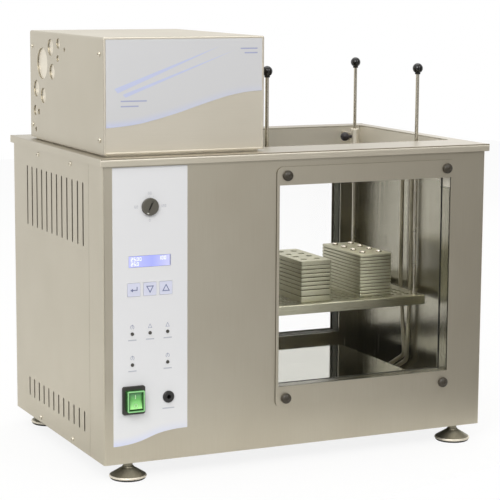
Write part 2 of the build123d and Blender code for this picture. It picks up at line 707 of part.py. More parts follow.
# Case screws: low heads on the housing's sides and on the cabinet's left and right sides
with BuildPart() as case_screws:
    for x, out, places in ((head_left, -1, head_screw_places), (head_right, 1, head_screw_places),
                           (left, -1, side_screw_places), (right, 1, side_screw_places)):
        with Locations([(x, y, z) for y, z in places]):
            Cone(screw_head, screw_crown, screw_rise, rotation=(0, out * quarter_turn, 0),
                 align=(Align.CENTER, Align.CENTER, Align.MIN))
case_screws.part.label = "case_screws"
export_step(case_screws.part, "parts/case_screws.step")

# Stirrer: a motor on a bridge over the hatch, a long shaft and a three-bladed propeller
bridge_thick = 3.0
bridge_lap = 4.0                            # how far a bridge rests on the floor past the hatch
bridge_half = 34.0
bearing_outer, bearing_down, bearing_up = 9.0, 20.0, 12.0
collar_radius, collar_height = 7.0, 5.0
thrust_play = 0.1                           # between the shaft's collar and the bearing
motor_radius, motor_height = 30.0, 78.0
motor_gap = 24.0                            # from the bridge to the motor's underside
motor_socket = 18.0                         # depth that the shaft enters the motor
post_radius, post_circle = 3.0, 24.0
post_count, post_turn = 4, 45.0
bridge_bottom = floor_top
bridge_top = bridge_bottom + bridge_thick
motor_bottom = bridge_top + motor_gap
propeller_drop = 330.0
hub_radius, hub_height = 8.0, 16.0
blade_radius, blade_width, blade_thick = 27.0, 18.0, 2.0
blade_count, blade_pitch = 3, 30.0
full_turn = 360.0
shaft_end = 10.0                            # below the hub's middle
with BuildPart() as stirrer_support:
    block((hatch_left - bridge_lap, stirrer_y - bridge_half, bridge_bottom),
          (hatch_right + bridge_lap, stirrer_y + bridge_half, bridge_top))
    with BuildSketch(Plane.XY.offset(bridge_bottom - bearing_down)):
        with Locations((stirrer_x, stirrer_y)):
            Circle(bearing_outer)
    extrude(amount=bearing_down + bridge_thick + bearing_up)
    with BuildSketch(Plane.XY.offset(bridge_top)):
        with Locations((stirrer_x, stirrer_y)):
            with PolarLocations(post_circle, post_count, start_angle=post_turn):
                Circle(post_radius)
    extrude(amount=motor_gap)
    with BuildSketch(Plane.XY.offset(bridge_bottom - bearing_down - overrun)):
        with Locations((stirrer_x, stirrer_y)):
            Circle(shaft_radius + running_fit)
    extrude(amount=bearing_down + bridge_thick + bearing_up + 2 * overrun, mode=Mode.SUBTRACT)
stirrer_support.part.label = "stirrer_support"
export_step(stirrer_support.part, "parts/stirrer_support.step")

with BuildPart() as stirrer_motor:
    with BuildSketch(Plane.XY.offset(motor_bottom)):
        with Locations((stirrer_x, stirrer_y)):
            Circle(motor_radius)
    extrude(amount=motor_height)
    chamfer(stirrer_motor.edges().filter_by(GeomType.CIRCLE), sheet)
    with BuildSketch(Plane.XY.offset(motor_bottom)):
        with Locations((stirrer_x, stirrer_y)):
            Circle(shaft_radius + running_fit)
    extrude(amount=motor_socket + slack, mode=Mode.SUBTRACT)
stirrer_motor.part.label = "stirrer_motor"
export_step(stirrer_motor.part, "parts/stirrer_motor.step")

shaft_bottom = deck_top - propeller_drop - shaft_end
collar_bottom = bridge_top + bearing_up + thrust_play
with BuildPart() as stirrer_shaft:
    for bottom, top, radius in ((shaft_bottom, motor_bottom + motor_socket, shaft_radius),
                                (collar_bottom, collar_bottom + collar_height, collar_radius)):
        with BuildSketch(Plane.XY.offset(bottom)):
            with Locations((stirrer_x, stirrer_y)):
                Circle(radius)
        extrude(amount=top - bottom)
stirrer_shaft.part.label = "stirrer_shaft"
export_step(stirrer_shaft.part, "parts/stirrer_shaft.step")

with BuildPart() as stirrer_propeller:
    propeller_z = deck_top - propeller_drop
    with BuildSketch(Plane.XY.offset(propeller_z - hub_height / 2)):
        with Locations((stirrer_x, stirrer_y)):
            Circle(hub_radius)
    extrude(amount=hub_height)
    for number in range(blade_count):
        blade_place = Location((stirrer_x, stirrer_y, propeller_z), (0, 0, number * full_turn / blade_count))
        blade_middle = Location(((blade_radius + hub_radius / 2) / 2, 0, 0), (blade_pitch, 0, 0))
        with Locations(blade_place * blade_middle):
            Box(blade_radius - hub_radius / 2, blade_width, blade_thick)
    with BuildSketch(Plane.XY.offset(propeller_z - hub_height / 2 - overrun)):
        with Locations((stirrer_x, stirrer_y)):
            Circle(shaft_radius)
    extrude(amount=hub_height + 2 * overrun, mode=Mode.SUBTRACT)
stirrer_propeller.part.label = "stirrer_propeller"
export_step(stirrer_propeller.part, "parts/stirrer_propeller.step")

# Main heater: a hairpin under a flange that lies across the hatch behind the stirrer
flange_depth = 74.0
hairpin_spread = 44.0
hairpin_drop = 330.0
hairpin_bend = 14.0
terminal_box = (40.0, 40.0, 26.0)
with BuildPart() as main_heater:
    block((hatch_left - bridge_lap, flange_y - flange_depth / 2, bridge_bottom),
          (hatch_right + bridge_lap, flange_y + flange_depth / 2, bridge_top))
    with Locations((hatch_x, flange_y, bridge_top + terminal_box[2] / 2)):
        Box(*terminal_box)
    near, far = flange_y - hairpin_spread / 2, flange_y + hairpin_spread / 2
    with BuildLine() as route:
        FilletPolyline((hatch_x, near, bridge_bottom), (hatch_x, near, deck_top - hairpin_drop),
                       (hatch_x, far, deck_top - hairpin_drop), (hatch_x, far, bridge_bottom),
                       radius=hairpin_bend)
    with BuildSketch(Plane(origin=route.line @ 0, z_dir=route.line % 0)):
        Circle(sheath_radius)
    sweep(path=route.line)
main_heater.part.label = "main_heater"
export_step(main_heater.part, "parts/main_heater.step")

# Temperature probe: a sheathed sensor through its own small bridge, ahead of the stirrer
probe_half = 14.0
probe_radius = 2.5
probe_gland, probe_gland_height = 8.0, 16.0
probe_top, probe_drop = 40.0, 180.0
with BuildPart() as temperature_probe:
    block((hatch_left - bridge_lap, probe_y - probe_half, bridge_bottom),
          (hatch_right + bridge_lap, probe_y + probe_half, bridge_top))
    for bottom, top, radius in ((bridge_top, bridge_top + probe_gland_height, probe_gland),
                                (deck_top - probe_drop, deck_top + probe_top, probe_radius)):
        with BuildSketch(Plane.XY.offset(bottom)):
            with Locations((hatch_x, probe_y)):
                Circle(radius)
        extrude(amount=top - bottom)
temperature_probe.part.label = "temperature_probe"
export_step(temperature_probe.part, "parts/temperature_probe.step")

# Shelf: a tray turned upside down, perforated all over, with a sleeve hole for each rod
shelf_rim = 14.5
shelf_corner = 3.0
shelf_hole, shelf_hole_sides = 4.6, 6
shelf_hole_pitch = 26.0
shelf_hole_counts = (9, 7)
rod_collar, rod_collar_height = 5.0, 6.0
rod_nut, rod_nut_height = 4.5, 4.0
shelf_back = shelf_front + shelf_depth
shelf_right = shelf_left + shelf_width
rod_front_set, rod_back_set = 13.3, 13.4    # rods from the shelf's front and back edges
rod_places = [(x, y) for x in (shelf_left + rod_inset, shelf_right - rod_inset)
              for y in (shelf_front + rod_front_set, shelf_back - rod_back_set)]
with BuildPart() as shelf:
    block((shelf_left, shelf_front, shelf_top - shelf_rim), (shelf_right, shelf_back, shelf_top))
    fillet(shelf.edges().filter_by(Axis.Z), shelf_corner)
    block((shelf_left + sheet, shelf_front + sheet, shelf_top - shelf_rim),
          (shelf_right - sheet, shelf_back - sheet, shelf_top - sheet), mode=Mode.SUBTRACT)
    with BuildSketch(Plane.XY.offset(shelf_top - sheet - overrun)):
        with Locations((shelf_left + shelf_width / 2, shelf_front + shelf_depth / 2)):
            with GridLocations(shelf_hole_pitch, shelf_hole_pitch, *shelf_hole_counts):
                RegularPolygon(shelf_hole, shelf_hole_sides)
        for x, y in rod_places:
            with Locations((x, y)):
                Circle(rod_nut + sheet, mode=Mode.SUBTRACT)
                Circle(rod_radius)
    extrude(amount=sheet + 2 * overrun, mode=Mode.SUBTRACT)
shelf.part.label = "shelf"
export_step(shelf.part, "parts/shelf.step")

# Lift rods, each with a collar on the shelf and a nut under it
neck_tall = 3.0
ball_flat = 6.0                             # depth of the ball's flat underside below its centre
rod_grip = 4.0                              # length of rod inside the ball
ball_bottom = deck_top + ball_height - ball_flat
rod_end = ball_bottom + rod_grip
ball_neck = 4.0
rod_foot = shelf_top - sheet - rod_nut_height
with BuildPart() as lift_rods:
    with BuildSketch(Plane.XY.offset(rod_foot)):
        with Locations(rod_places):
            Circle(rod_radius)
    extrude(amount=rod_end - rod_foot)
    for bottom, height, radius in ((shelf_top, rod_collar_height, rod_collar),
                                   (rod_foot, rod_nut_height, rod_nut)):
        with BuildSketch(Plane.XY.offset(bottom)):
            with Locations(rod_places):
                Circle(radius)
                Circle(rod_radius + running_fit, mode=Mode.SUBTRACT)
        extrude(amount=height)
lift_rods.part.label = "lift_rods"
export_step(lift_rods.part, "parts/lift_rods.step")

with BuildPart() as ball_knobs:
    with Locations([(x, y, deck_top + ball_height) for x, y in rod_places]):
        Sphere(ball_radius)
    with BuildSketch(Plane.XY.offset(ball_bottom - neck_tall)):
        with Locations(rod_places):
            Circle(ball_neck)
    extrude(amount=neck_tall + ball_flat)
    with BuildSketch(Plane.XY.offset(ball_bottom - neck_tall - overrun)):
        with Locations(rod_places):
            Circle(rod_radius)
    extrude(amount=rod_end - ball_bottom + neck_tall + overrun, mode=Mode.SUBTRACT)
ball_knobs.part.label = "ball_knobs"
export_step(ball_knobs.part, "parts/ball_knobs.step")

# Rod clamp: a split sleeve round the right rear rod, on an arm from the tank's back wall
sleeve_outer = 5.4
sleeve_top_drop, sleeve_bottom_drop = 1.5, 26.0
arm_width, arm_thick = 8.0, 16.0
wall_plate = (26.0, 2.0, 22.0)
clamp_stud = 2.5
clamp_reach = 17.6                          # knob centre from the rod's axis
clamp_ball = 7.0
clamp_flat = 5.2
clamp_x, clamp_y = shelf_right - rod_inset, shelf_back - rod_back_set
clamp_z = deck_top - (sleeve_top_drop + sleeve_bottom_drop) / 2
with BuildPart() as rod_clamp:
    with BuildSketch(Plane.XY.offset(deck_top - sleeve_bottom_drop)):
        with Locations((clamp_x, clamp_y)):
            Circle(sleeve_outer)
    extrude(amount=sleeve_bottom_drop - sleeve_top_drop)
    block((clamp_x - arm_width / 2, clamp_y, clamp_z - arm_thick / 2),
          (clamp_x + arm_width / 2, tank_back, clamp_z + arm_thick / 2))
    block((clamp_x - wall_plate[0] / 2, tank_back - wall_plate[1], clamp_z - wall_plate[2] / 2),
          (clamp_x + wall_plate[0] / 2, tank_back, clamp_z + wall_plate[2] / 2))
    with BuildSketch(Plane.XY.offset(deck_top - sleeve_bottom_drop - overrun)):
        with Locations((clamp_x, clamp_y)):
            Circle(rod_radius + slack)
    extrude(amount=sleeve_bottom_drop + 2 * overrun, mode=Mode.SUBTRACT)
    with BuildSketch(side_at(clamp_x)):
        with Locations((clamp_y, clamp_z)):
            Circle(clamp_stud + running_fit)
    extrude(amount=-clamp_reach, mode=Mode.SUBTRACT)
rod_clamp.part.label = "rod_clamp"
export_step(rod_clamp.part, "parts/rod_clamp.step")

knob_x = clamp_x - clamp_reach
with BuildPart() as clamp_knob:
    with BuildSketch(Plane(origin=(knob_x, clamp_y, clamp_z), x_dir=(1, 0, 0), z_dir=(0, -1, 0))):
        shoulder = (clamp_ball ** 2 - clamp_flat ** 2) ** 0.5
        tip = clamp_reach - rod_radius - slack
        with BuildLine():
            ThreePointArc((-clamp_ball, 0), (0, clamp_ball), (clamp_flat, shoulder))
            Polyline((clamp_flat, shoulder), (clamp_flat, clamp_stud), (tip, clamp_stud), (tip, 0),
                     (-clamp_ball, 0))
        make_face()
    revolve(axis=Axis((knob_x, clamp_y, clamp_z), (1, 0, 0)))
clamp_knob.part.label = "clamp_knob"
export_step(clamp_knob.part, "parts/clamp_knob.step")

# Control label: a printed strip whose lower edge is a slow wave
label_reach_left, label_reach_right = 54.0, 55.5     # from the strip's centre line
label_top_drop = 12.3
strip_drop_left, strip_drop_right = 396.6, 379.2     # the wave's two ends, below the deck's top
strip_across_shares = (0.0, 0.17, 0.39, 0.57, 0.73, 0.84, 1.0)
strip_up_shares = (0.0, 0.06, 0.32, 0.70, 0.90, 0.97, 1.0)
with BuildPart() as control_label:
    strip_left, strip_right = controls_x - label_reach_left, controls_x + label_reach_right
    wave = [(strip_left + across * (strip_right - strip_left),
             deck_top - strip_drop_left + up * (strip_drop_left - strip_drop_right))
            for across, up in zip(strip_across_shares, strip_up_shares)]
    with BuildSketch(front_at(front)):
        with BuildLine():
            Spline(*wave)
            Polyline(wave[-1], (strip_right, deck_top - label_top_drop),
                     (strip_left, deck_top - label_top_drop), wave[0])
        make_face()
    extrude(amount=label_thick)
    with BuildSketch(front_at(front + overrun)):
        control_holes()
    extrude(amount=label_thick + 2 * overrun, mode=Mode.SUBTRACT)
control_label.part.label = "control_label"
export_step(control_label.part, "parts/control_label.step")

# Control board behind the panel, on four posts, with a press switch behind each key
board_setback, board_thick = 8.5, 1.6       # front face to the board, and its thickness
board_front = front + board_setback
board_half_width = 48.0
board_top_drop, board_bottom_drop = 110.0, 300.0
board_post, board_post_inset = 2.5, 6.0
press_size, press_thick = 6.0, 1.2
with BuildPart() as control_board:
    board_left, board_right = controls_x - board_half_width, controls_x + board_half_width
    board_low, board_high = deck_top - board_bottom_drop, deck_top - board_top_drop
    block((board_left, board_front, board_low), (board_right, board_front + board_thick, board_high))
    with BuildSketch(front_at(board_front)):
        with Locations([(x, z) for x in (board_left + board_post_inset, board_right - board_post_inset)
                        for z in (board_low + board_post_inset, board_high - board_post_inset)]):
            Circle(board_post)
    extrude(amount=board_front - front - sheet)
    with BuildSketch(front_at(board_front)):
        with Locations([(x, deck_top - key_drop) for x in key_places.values()]):
            Rectangle(press_size, press_size)
    extrude(amount=press_thick)
control_board.part.label = "control_board"
export_step(control_board.part, "parts/control_board.step")

# Display module: its window fills the slot in the strip, its body stands on the board
display_body = (71.0, 26.0)
display_set = 0.4                           # the display's face stands back from the strip's face
display_z = deck_top - display_drop
with BuildPart() as display_module:
    for size, near, far in ((display_body, front + sheet, board_front),
                            (display_size, label_face + display_set, front + sheet)):
        with BuildSketch(front_at(far)):
            with Locations((controls_x, display_z)):
                Rectangle(*size)
        extrude(amount=far - near)
display_module.part.label = "display_module"
export_step(display_module.part, "parts/display_module.step")

# Keys: a cap through the strip, a flange that holds it in, and a stem that meets its press switch
key_proud = 0.4                             # the cap's face ahead of the strip's face
key_lap = 1.3                               # the flange past the cap
key_flange_thick = 0.8
key_travel = 0.8
key_stem = 2.0
key_flange_front = front + sheet + slack
key_stem_end = board_front - press_thick - slack - key_travel
for name, x in key_places.items():
    with BuildPart() as key:
        with BuildSketch(front_at(key_flange_front)):
            with Locations((x, deck_top - key_drop)):
                RectangleRounded(*key_size, key_corner)
        extrude(amount=key_flange_front - label_face + key_proud)
        with BuildSketch(front_at(key_flange_front + key_flange_thick)):
            with Locations((x, deck_top - key_drop)):
                Rectangle(key_size[0] + 2 * key_lap, key_size[1] + 2 * key_lap)
        extrude(amount=key_flange_thick)
        with BuildSketch(front_at(key_stem_end)):
            with Locations((x, deck_top - key_drop)):
                Circle(key_stem)
        extrude(amount=key_stem_end - key_flange_front)
    key.part.label = name
    export_step(key.part, f"parts/{name}.step")

# Indicator lamps: a lens through the strip, its flange behind the panel and a stem back to the board
lamp_proud = 1.0
lamp_flange, lamp_flange_thick = 2.8, 1.0
lamp_stem = 1.5
with BuildPart() as indicator_lamps:
    for radius, near, far in ((lamp_radius, label_face - lamp_proud, front + sheet),
                              (lamp_flange, front + sheet, front + sheet + lamp_flange_thick),
                              (lamp_stem, front + sheet + lamp_flange_thick, board_front)):
        with BuildSketch(front_at(far)):
            with Locations([(x, deck_top - drop) for x, drop in lamp_places]):
                Circle(radius)
        extrude(amount=far - near)
indicator_lamps.part.label = "indicator_lamps"
export_step(indicator_lamps.part, "parts/indicator_lamps.step")

# Power switch: black bezel, pale shroud, and a rocker on two pins in the shroud
bezel_size, bezel_proud = (33.0, 39.5), 3.0
bezel_corner = 3.0
bezel_deep = 20.0
shroud_size, shroud_inside = (25.0, 29.6), (18.6, 24.2)
shroud_proud = 12.0
shroud_corner, shroud_inside_corner = 2.0, 0.5
switch_floor = 2.0
rocker_hinge_ahead = 6.5                    # hinge axis, ahead of the front face
rocker_hinge_y = front - rocker_hinge_ahead
rocker_tilt = 8.0
rocker_front = 4.0                          # rocker's upper and lower edges ahead of its hinge
rocker_waist = 2.0                          # rocker's middle ahead of its hinge
rocker_back = 5.0
rocker_pin, rocker_pin_reach = 1.5, 2.0
blade_size = (0.8, 8.0, 6.3)
blade_spread = 14.0
switch_z = deck_top - switch_drop
sleeve_back = front + bezel_deep
with BuildPart() as rocker_bezel:
    with BuildSketch(front_at(label_face)):
        with Locations((switch_x, switch_z)):
            RectangleRounded(*bezel_size, bezel_corner)
    extrude(amount=bezel_proud)
    with BuildSketch(front_at(sleeve_back)):
        with Locations((switch_x, switch_z)):
            Rectangle(*switch_sleeve)
    extrude(amount=sleeve_back - label_face)
    with BuildSketch(front_at(sleeve_back - switch_floor)):
        with Locations((switch_x, switch_z)):
            RectangleRounded(*shroud_size, shroud_corner)
    extrude(amount=bezel_deep + bezel_proud, mode=Mode.SUBTRACT)
    with Locations([(switch_x, sleeve_back + blade_size[1] / 2, switch_z + offset)
                    for offset in (-blade_spread / 2, blade_spread / 2)]):
        Box(*blade_size)
rocker_bezel.part.label = "rocker_bezel"
export_step(rocker_bezel.part, "parts/rocker_bezel.step")

with BuildPart() as rocker_shroud:
    shroud_length = sleeve_back - switch_floor - label_face + shroud_proud
    with BuildSketch(front_at(sleeve_back - switch_floor)):
        with Locations((switch_x, switch_z)):
            RectangleRounded(*shroud_size, shroud_corner)
            RectangleRounded(*shroud_inside, shroud_inside_corner, mode=Mode.SUBTRACT)
    extrude(amount=shroud_length)
    with BuildSketch(side_at(switch_x - shroud_inside[0] / 2 - rocker_pin_reach - slack)):
        with Locations((rocker_hinge_y, switch_z)):
            Circle(rocker_pin + running_fit)
    extrude(amount=shroud_inside[0] + 2 * (rocker_pin_reach + slack), mode=Mode.SUBTRACT)
rocker_shroud.part.label = "rocker_shroud"
export_step(rocker_shroud.part, "parts/rocker_shroud.step")

with BuildPart() as power_rocker:
    rocker_width = shroud_inside[0] - 2 * slack
    sweep_radius = shroud_inside[1] / 2 - slack
    edge_height = (sweep_radius ** 2 - rocker_front ** 2) ** 0.5
    back_height = (sweep_radius ** 2 - rocker_back ** 2) ** 0.5
    tilted = Plane(origin=(switch_x + rocker_width / 2, rocker_hinge_y, switch_z),
                   x_dir=(0, -cos(radians(rocker_tilt)), sin(radians(rocker_tilt))), z_dir=(-1, 0, 0))
    with BuildSketch(tilted):
        with BuildLine():
            ThreePointArc((rocker_front, edge_height), (0, sweep_radius), (-rocker_back, back_height))
            Line((-rocker_back, back_height), (-rocker_back, -back_height))
            ThreePointArc((-rocker_back, -back_height), (0, -sweep_radius), (rocker_front, -edge_height))
            Polyline((rocker_front, -edge_height), (rocker_waist, 0), (rocker_front, edge_height))
        make_face()
    extrude(amount=rocker_width)
    with BuildSketch(side_at(switch_x - shroud_inside[0] / 2 - rocker_pin_reach)):
        with Locations((rocker_hinge_y, switch_z)):
            Circle(rocker_pin)
    extrude(amount=shroud_inside[0] + 2 * rocker_pin_reach)
power_rocker.part.label = "power_rocker"
export_step(power_rocker.part, "parts/power_rocker.step")

# Safety dial and the thermostat that it sets
dial_radius, dial_thick = 12.0, 4.0
dial_edge = 0.8
dial_slot, dial_slot_deep = (2.4, 16.0), 1.2
dial_turn = 25.0                            # the slot at rest, from upright
spindle_radius, spindle_deep = 3.0, 20.0
thermostat_half, thermostat_deep = 15.0, 26.0
dial_z = deck_top - dial_drop
dial_back = label_face - slack
with BuildPart() as safety_dial:
    with BuildSketch(front_at(dial_back)):
        with Locations((controls_x, dial_z)):
            Circle(dial_radius)
    extrude(amount=dial_thick)
    chamfer(safety_dial.edges().group_by(Axis.Y)[0], dial_edge)
    with BuildSketch(front_at(front + spindle_deep)):
        with Locations((controls_x, dial_z)):
            Circle(spindle_radius)
    extrude(amount=front + spindle_deep - dial_back)
    with BuildSketch(front_at(dial_back - dial_thick + dial_slot_deep)):
        with Locations(Location((controls_x, dial_z), -dial_turn)):
            Rectangle(*dial_slot)
    extrude(amount=dial_slot_deep + overrun, mode=Mode.SUBTRACT)
safety_dial.part.label = "safety_dial"
export_step(safety_dial.part, "parts/safety_dial.step")

with BuildPart() as safety_thermostat:
    block((controls_x - thermostat_half, front + sheet, dial_z - thermostat_half),
          (controls_x + thermostat_half, front + thermostat_deep, dial_z + thermostat_half))
    with BuildSketch(front_at(front + spindle_deep + slack)):
        with Locations((controls_x, dial_z)):
            Circle(spindle_radius + running_fit)
    extrude(amount=spindle_deep, mode=Mode.SUBTRACT)
safety_thermostat.part.label = "safety_thermostat"
export_step(safety_thermostat.part, "parts/safety_thermostat.step")

# Accessory socket: a round flange, a barrel through the panel and a blind bore for the plug
socket_flange, socket_flange_thick = 8.35, 2.5
socket_bevel = 1.0                          # round the flange's front edge
socket_barrel, socket_deep = 6.0, 22.0
socket_bore, socket_bore_deep = 3.0, 10.0
with BuildPart() as accessory_socket:
    for radius, near, far in ((socket_flange, label_face - socket_flange_thick, label_face),
                              (socket_barrel, label_face, front + socket_deep)):
        with BuildSketch(front_at(far)):
            with Locations((socket_x, switch_z)):
                Circle(radius)
        extrude(amount=far - near)
    chamfer(accessory_socket.edges().group_by(Axis.Y)[0], socket_bevel)
    with BuildSketch(front_at(label_face - socket_flange_thick + socket_bore_deep)):
        with Locations((socket_x, switch_z)):
            Circle(socket_bore)
    extrude(amount=socket_bore_deep + overrun, mode=Mode.SUBTRACT)
accessory_socket.part.label = "accessory_socket"
export_step(accessory_socket.part, "parts/accessory_socket.step")

# Plate stacks on the shelf: the left one of thick and thin plates in turn, the right one all alike
stack_left_side, stack_left_in = 71.5, 14.0     # from the shelf's left edge and its front edge
stack_left_x = shelf_left + stack_left_side
stack_left_width, stack_left_depth = 51.5, 119.0
stack_left_y = shelf_front + stack_left_in
stack_thick, stack_thin, stack_pairs = 8.8, 3.6, 5
stack_inset = 1.2                           # every other plate is smaller by this all round
stack_hole, stack_hole_pitch = 5.0, (22.0, 26.0)
stack_columns, stack_rows = 2, 4            # of holes in one stack, and of studs on the other
with BuildPart() as plate_stack_left:
    for number in range(stack_pairs):
        base = shelf_top + number * (stack_thick + stack_thin)
        block((stack_left_x, stack_left_y, base),
              (stack_left_x + stack_left_width, stack_left_y + stack_left_depth, base + stack_thick))
        block((stack_left_x + stack_inset, stack_left_y + stack_inset, base + stack_thick),
              (stack_left_x + stack_left_width - stack_inset, stack_left_y + stack_left_depth - stack_inset,
               base + stack_thick + stack_thin))
    with BuildSketch(Plane.XY.offset(base + stack_thick)):
        with Locations((stack_left_x + stack_left_width / 2, stack_left_y + stack_left_depth / 2)):
            with GridLocations(*stack_hole_pitch, stack_columns, stack_rows):
                Circle(stack_hole)
    extrude(amount=stack_thin + overrun, mode=Mode.SUBTRACT)
plate_stack_left.part.label = "plate_stack_left"
export_step(plate_stack_left.part, "parts/plate_stack_left.step")

stack_right_side, stack_right_in = 175.5, 21.0  # from the shelf's left edge and its front edge
stack_right_x = shelf_left + stack_right_side
stack_right_width, stack_right_depth = 55.0, 127.0
stack_right_y = shelf_front + stack_right_in
stack_even, stack_count = 5.05, 13
stack_head, stack_head_crown, stack_head_rise = 5.0, 2.8, 2.6
stack_head_pitch = (28.0, 30.0)
with BuildPart() as plate_stack_right:
    for number in range(stack_count):
        base = shelf_top + number * stack_even
        inset = stack_inset / 2 * (number % 2)
        block((stack_right_x + inset, stack_right_y + inset, base),
              (stack_right_x + stack_right_width - inset, stack_right_y + stack_right_depth - inset,
               base + stack_even))
    stack_right_top = base + stack_even
    with Locations((stack_right_x + stack_right_width / 2, stack_right_y + stack_right_depth / 2,
                    stack_right_top)):
        with GridLocations(*stack_head_pitch, stack_columns, stack_rows):
            Cone(stack_head, stack_head_crown, stack_head_rise, align=(Align.CENTER, Align.CENTER, Align.MIN))
plate_stack_right.part.label = "plate_stack_right"
export_step(plate_stack_right.part, "parts/plate_stack_right.step")

# Mains inlet: a flanged socket body with three pins in its cavity
inlet_flange, inlet_flange_thick = (36.0, 28.0), 3.0
inlet_inside, inlet_cavity = (24.0, 17.0), 14.0
inlet_deep = 24.0
inlet_pin, inlet_pin_reach = (2.0, 4.0), 11.0
inlet_pin_pitch = 7.0
inlet_pin_shift = 2.0
with BuildPart() as mains_inlet:
    for size, near, far in ((inlet_flange, back, back + inlet_flange_thick),
                            (inlet_body, back - inlet_deep, back)):
        with BuildSketch(front_at(far)):
            with Locations((inlet_x, inlet_z)):
                Rectangle(*size)
        extrude(amount=far - near)
    cavity_end = back + inlet_flange_thick - inlet_cavity
    with BuildSketch(front_at(back + inlet_flange_thick)):
        with Locations((inlet_x, inlet_z)):
            Rectangle(*inlet_inside)
    extrude(amount=inlet_cavity, mode=Mode.SUBTRACT)
    with BuildSketch(front_at(cavity_end + inlet_pin_reach)):
        with Locations((inlet_x - inlet_pin_pitch, inlet_z - inlet_pin_shift),
                       (inlet_x, inlet_z + inlet_pin_shift),
                       (inlet_x + inlet_pin_pitch, inlet_z - inlet_pin_shift)):
            Rectangle(*inlet_pin)
    extrude(amount=inlet_pin_reach)
mains_inlet.part.label = "mains_inlet"
export_step(mains_inlet.part, "parts/mains_inlet.step")

# Drain: a fitting from the tank's back wall through the back panel, closed by a socketed plug
drain_reach = pad_radius - foot_front       # as far behind the cabinet as the front feet stand ahead of it
plug_play = 0.05
plug_length, plug_recess = 14.0, 1.5
plug_socket, plug_socket_deep, plug_socket_sides = 3.5, 7.0, 6
with BuildPart() as drain_fitting:
    for radius, near, far in ((drain_body, tank_back + sheet, back + drain_step),
                              (drain_radius, back + drain_step, back + drain_reach)):
        with BuildSketch(front_at(far)):
            with Locations((drain_x, drain_z)):
                Circle(radius)
                Circle(drain_bore, mode=Mode.SUBTRACT)
        extrude(amount=far - near)
drain_fitting.part.label = "drain_fitting"
export_step(drain_fitting.part, "parts/drain_fitting.step")

with BuildPart() as drain_plug:
    plug_end = back + drain_reach - plug_recess
    with BuildSketch(front_at(plug_end)):
        with Locations((drain_x, drain_z)):
            Circle(drain_bore - plug_play)
    extrude(amount=plug_length)
    with BuildSketch(front_at(plug_end)):
        with Locations((drain_x, drain_z)):
            RegularPolygon(plug_socket, plug_socket_sides)
    extrude(amount=plug_socket_deep, mode=Mode.SUBTRACT)
drain_plug.part.label = "drain_plug"
export_step(drain_plug.part, "parts/drain_plug.step")
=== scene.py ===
# %% [markdown]
# # A see-through laboratory bath
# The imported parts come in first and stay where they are. This lesson gives each of them its finish,
# and makes again in fine detail those whose looks depend on it: pierced sheet, turned knobs and nuts,
# bevelled plates, feet and print. All lengths are metres, so sizes in millimetres are multiplied by mm.
# %% Load the frame
from math import cos, pi, radians, sin

import bmesh
import bpy
from mathutils import Matrix, Vector
from mathutils.bvhtree import BVHTree


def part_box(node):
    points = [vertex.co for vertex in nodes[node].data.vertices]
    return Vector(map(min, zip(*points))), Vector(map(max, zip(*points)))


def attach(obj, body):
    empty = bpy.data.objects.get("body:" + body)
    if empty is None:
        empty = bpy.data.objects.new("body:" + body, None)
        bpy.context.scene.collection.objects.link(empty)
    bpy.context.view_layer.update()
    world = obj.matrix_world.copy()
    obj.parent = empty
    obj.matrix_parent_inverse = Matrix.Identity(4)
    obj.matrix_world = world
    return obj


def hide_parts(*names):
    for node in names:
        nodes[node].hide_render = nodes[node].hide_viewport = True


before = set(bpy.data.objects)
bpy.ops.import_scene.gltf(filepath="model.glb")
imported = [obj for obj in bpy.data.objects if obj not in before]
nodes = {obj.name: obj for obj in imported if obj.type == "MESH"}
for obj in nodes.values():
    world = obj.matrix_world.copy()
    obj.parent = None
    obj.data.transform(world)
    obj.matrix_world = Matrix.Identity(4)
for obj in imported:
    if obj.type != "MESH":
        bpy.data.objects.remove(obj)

mm = 0.001
scene = bpy.context.scene
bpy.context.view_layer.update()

# %% [markdown]
# ## A few small helpers
# Colours are picked as sRGB hex values from a screen, and the renderer works in linear light, so one
# function turns them. Every shader and shape is a tree of nodes, so one function adds a node and
# sets its properties, and one fills its inputs with values or with links from other nodes.
# %% Helpers for colours and nodes
def colour(code):
    """Turn an sRGB hex value into linear light."""
    parts = [int(code[start:start + 2], 16) / 255 for start in (1, 3, 5)]
    return tuple(p / 12.92 if p <= 0.04045 else ((p + 0.055) / 1.055) ** 2.4 for p in parts) + (1.0,)


def fill(tree, node, inputs):
    """Fill a node's named inputs: each gets a value, a link to a socket, or to a node's result."""
    for name, value in inputs.items():
        if isinstance(value, bpy.types.Node):
            value = next(socket for socket in value.outputs if socket.enabled)
        if isinstance(value, bpy.types.NodeSocket):
            tree.links.new(value, node.inputs[name])
        else:
            node.inputs[name].default_value = value


def add(tree, kind, inputs=None, **settings):
    """Add a node to a tree, set its properties and fill its inputs."""
    made = tree.nodes.new(kind)
    for name, value in settings.items():
        setattr(made, name, value)
    fill(tree, made, inputs or {})
    return made


def start(name, code, **plain):
    """Start a material: it, its tree, its shader and the object's own coordinates in metres."""
    made = bpy.data.materials.new(name)
    made.use_nodes = True
    tree = made.node_tree
    shader = tree.nodes["Principled BSDF"]
    fill(tree, shader, {"Base Color": colour(code)})
    fill(tree, shader, {key.replace("_", " "): value for key, value in plain.items()})
    return made, tree, shader, add(tree, "ShaderNodeTexCoord").outputs["Object"]


print("white is", colour("#FFFFFF"))

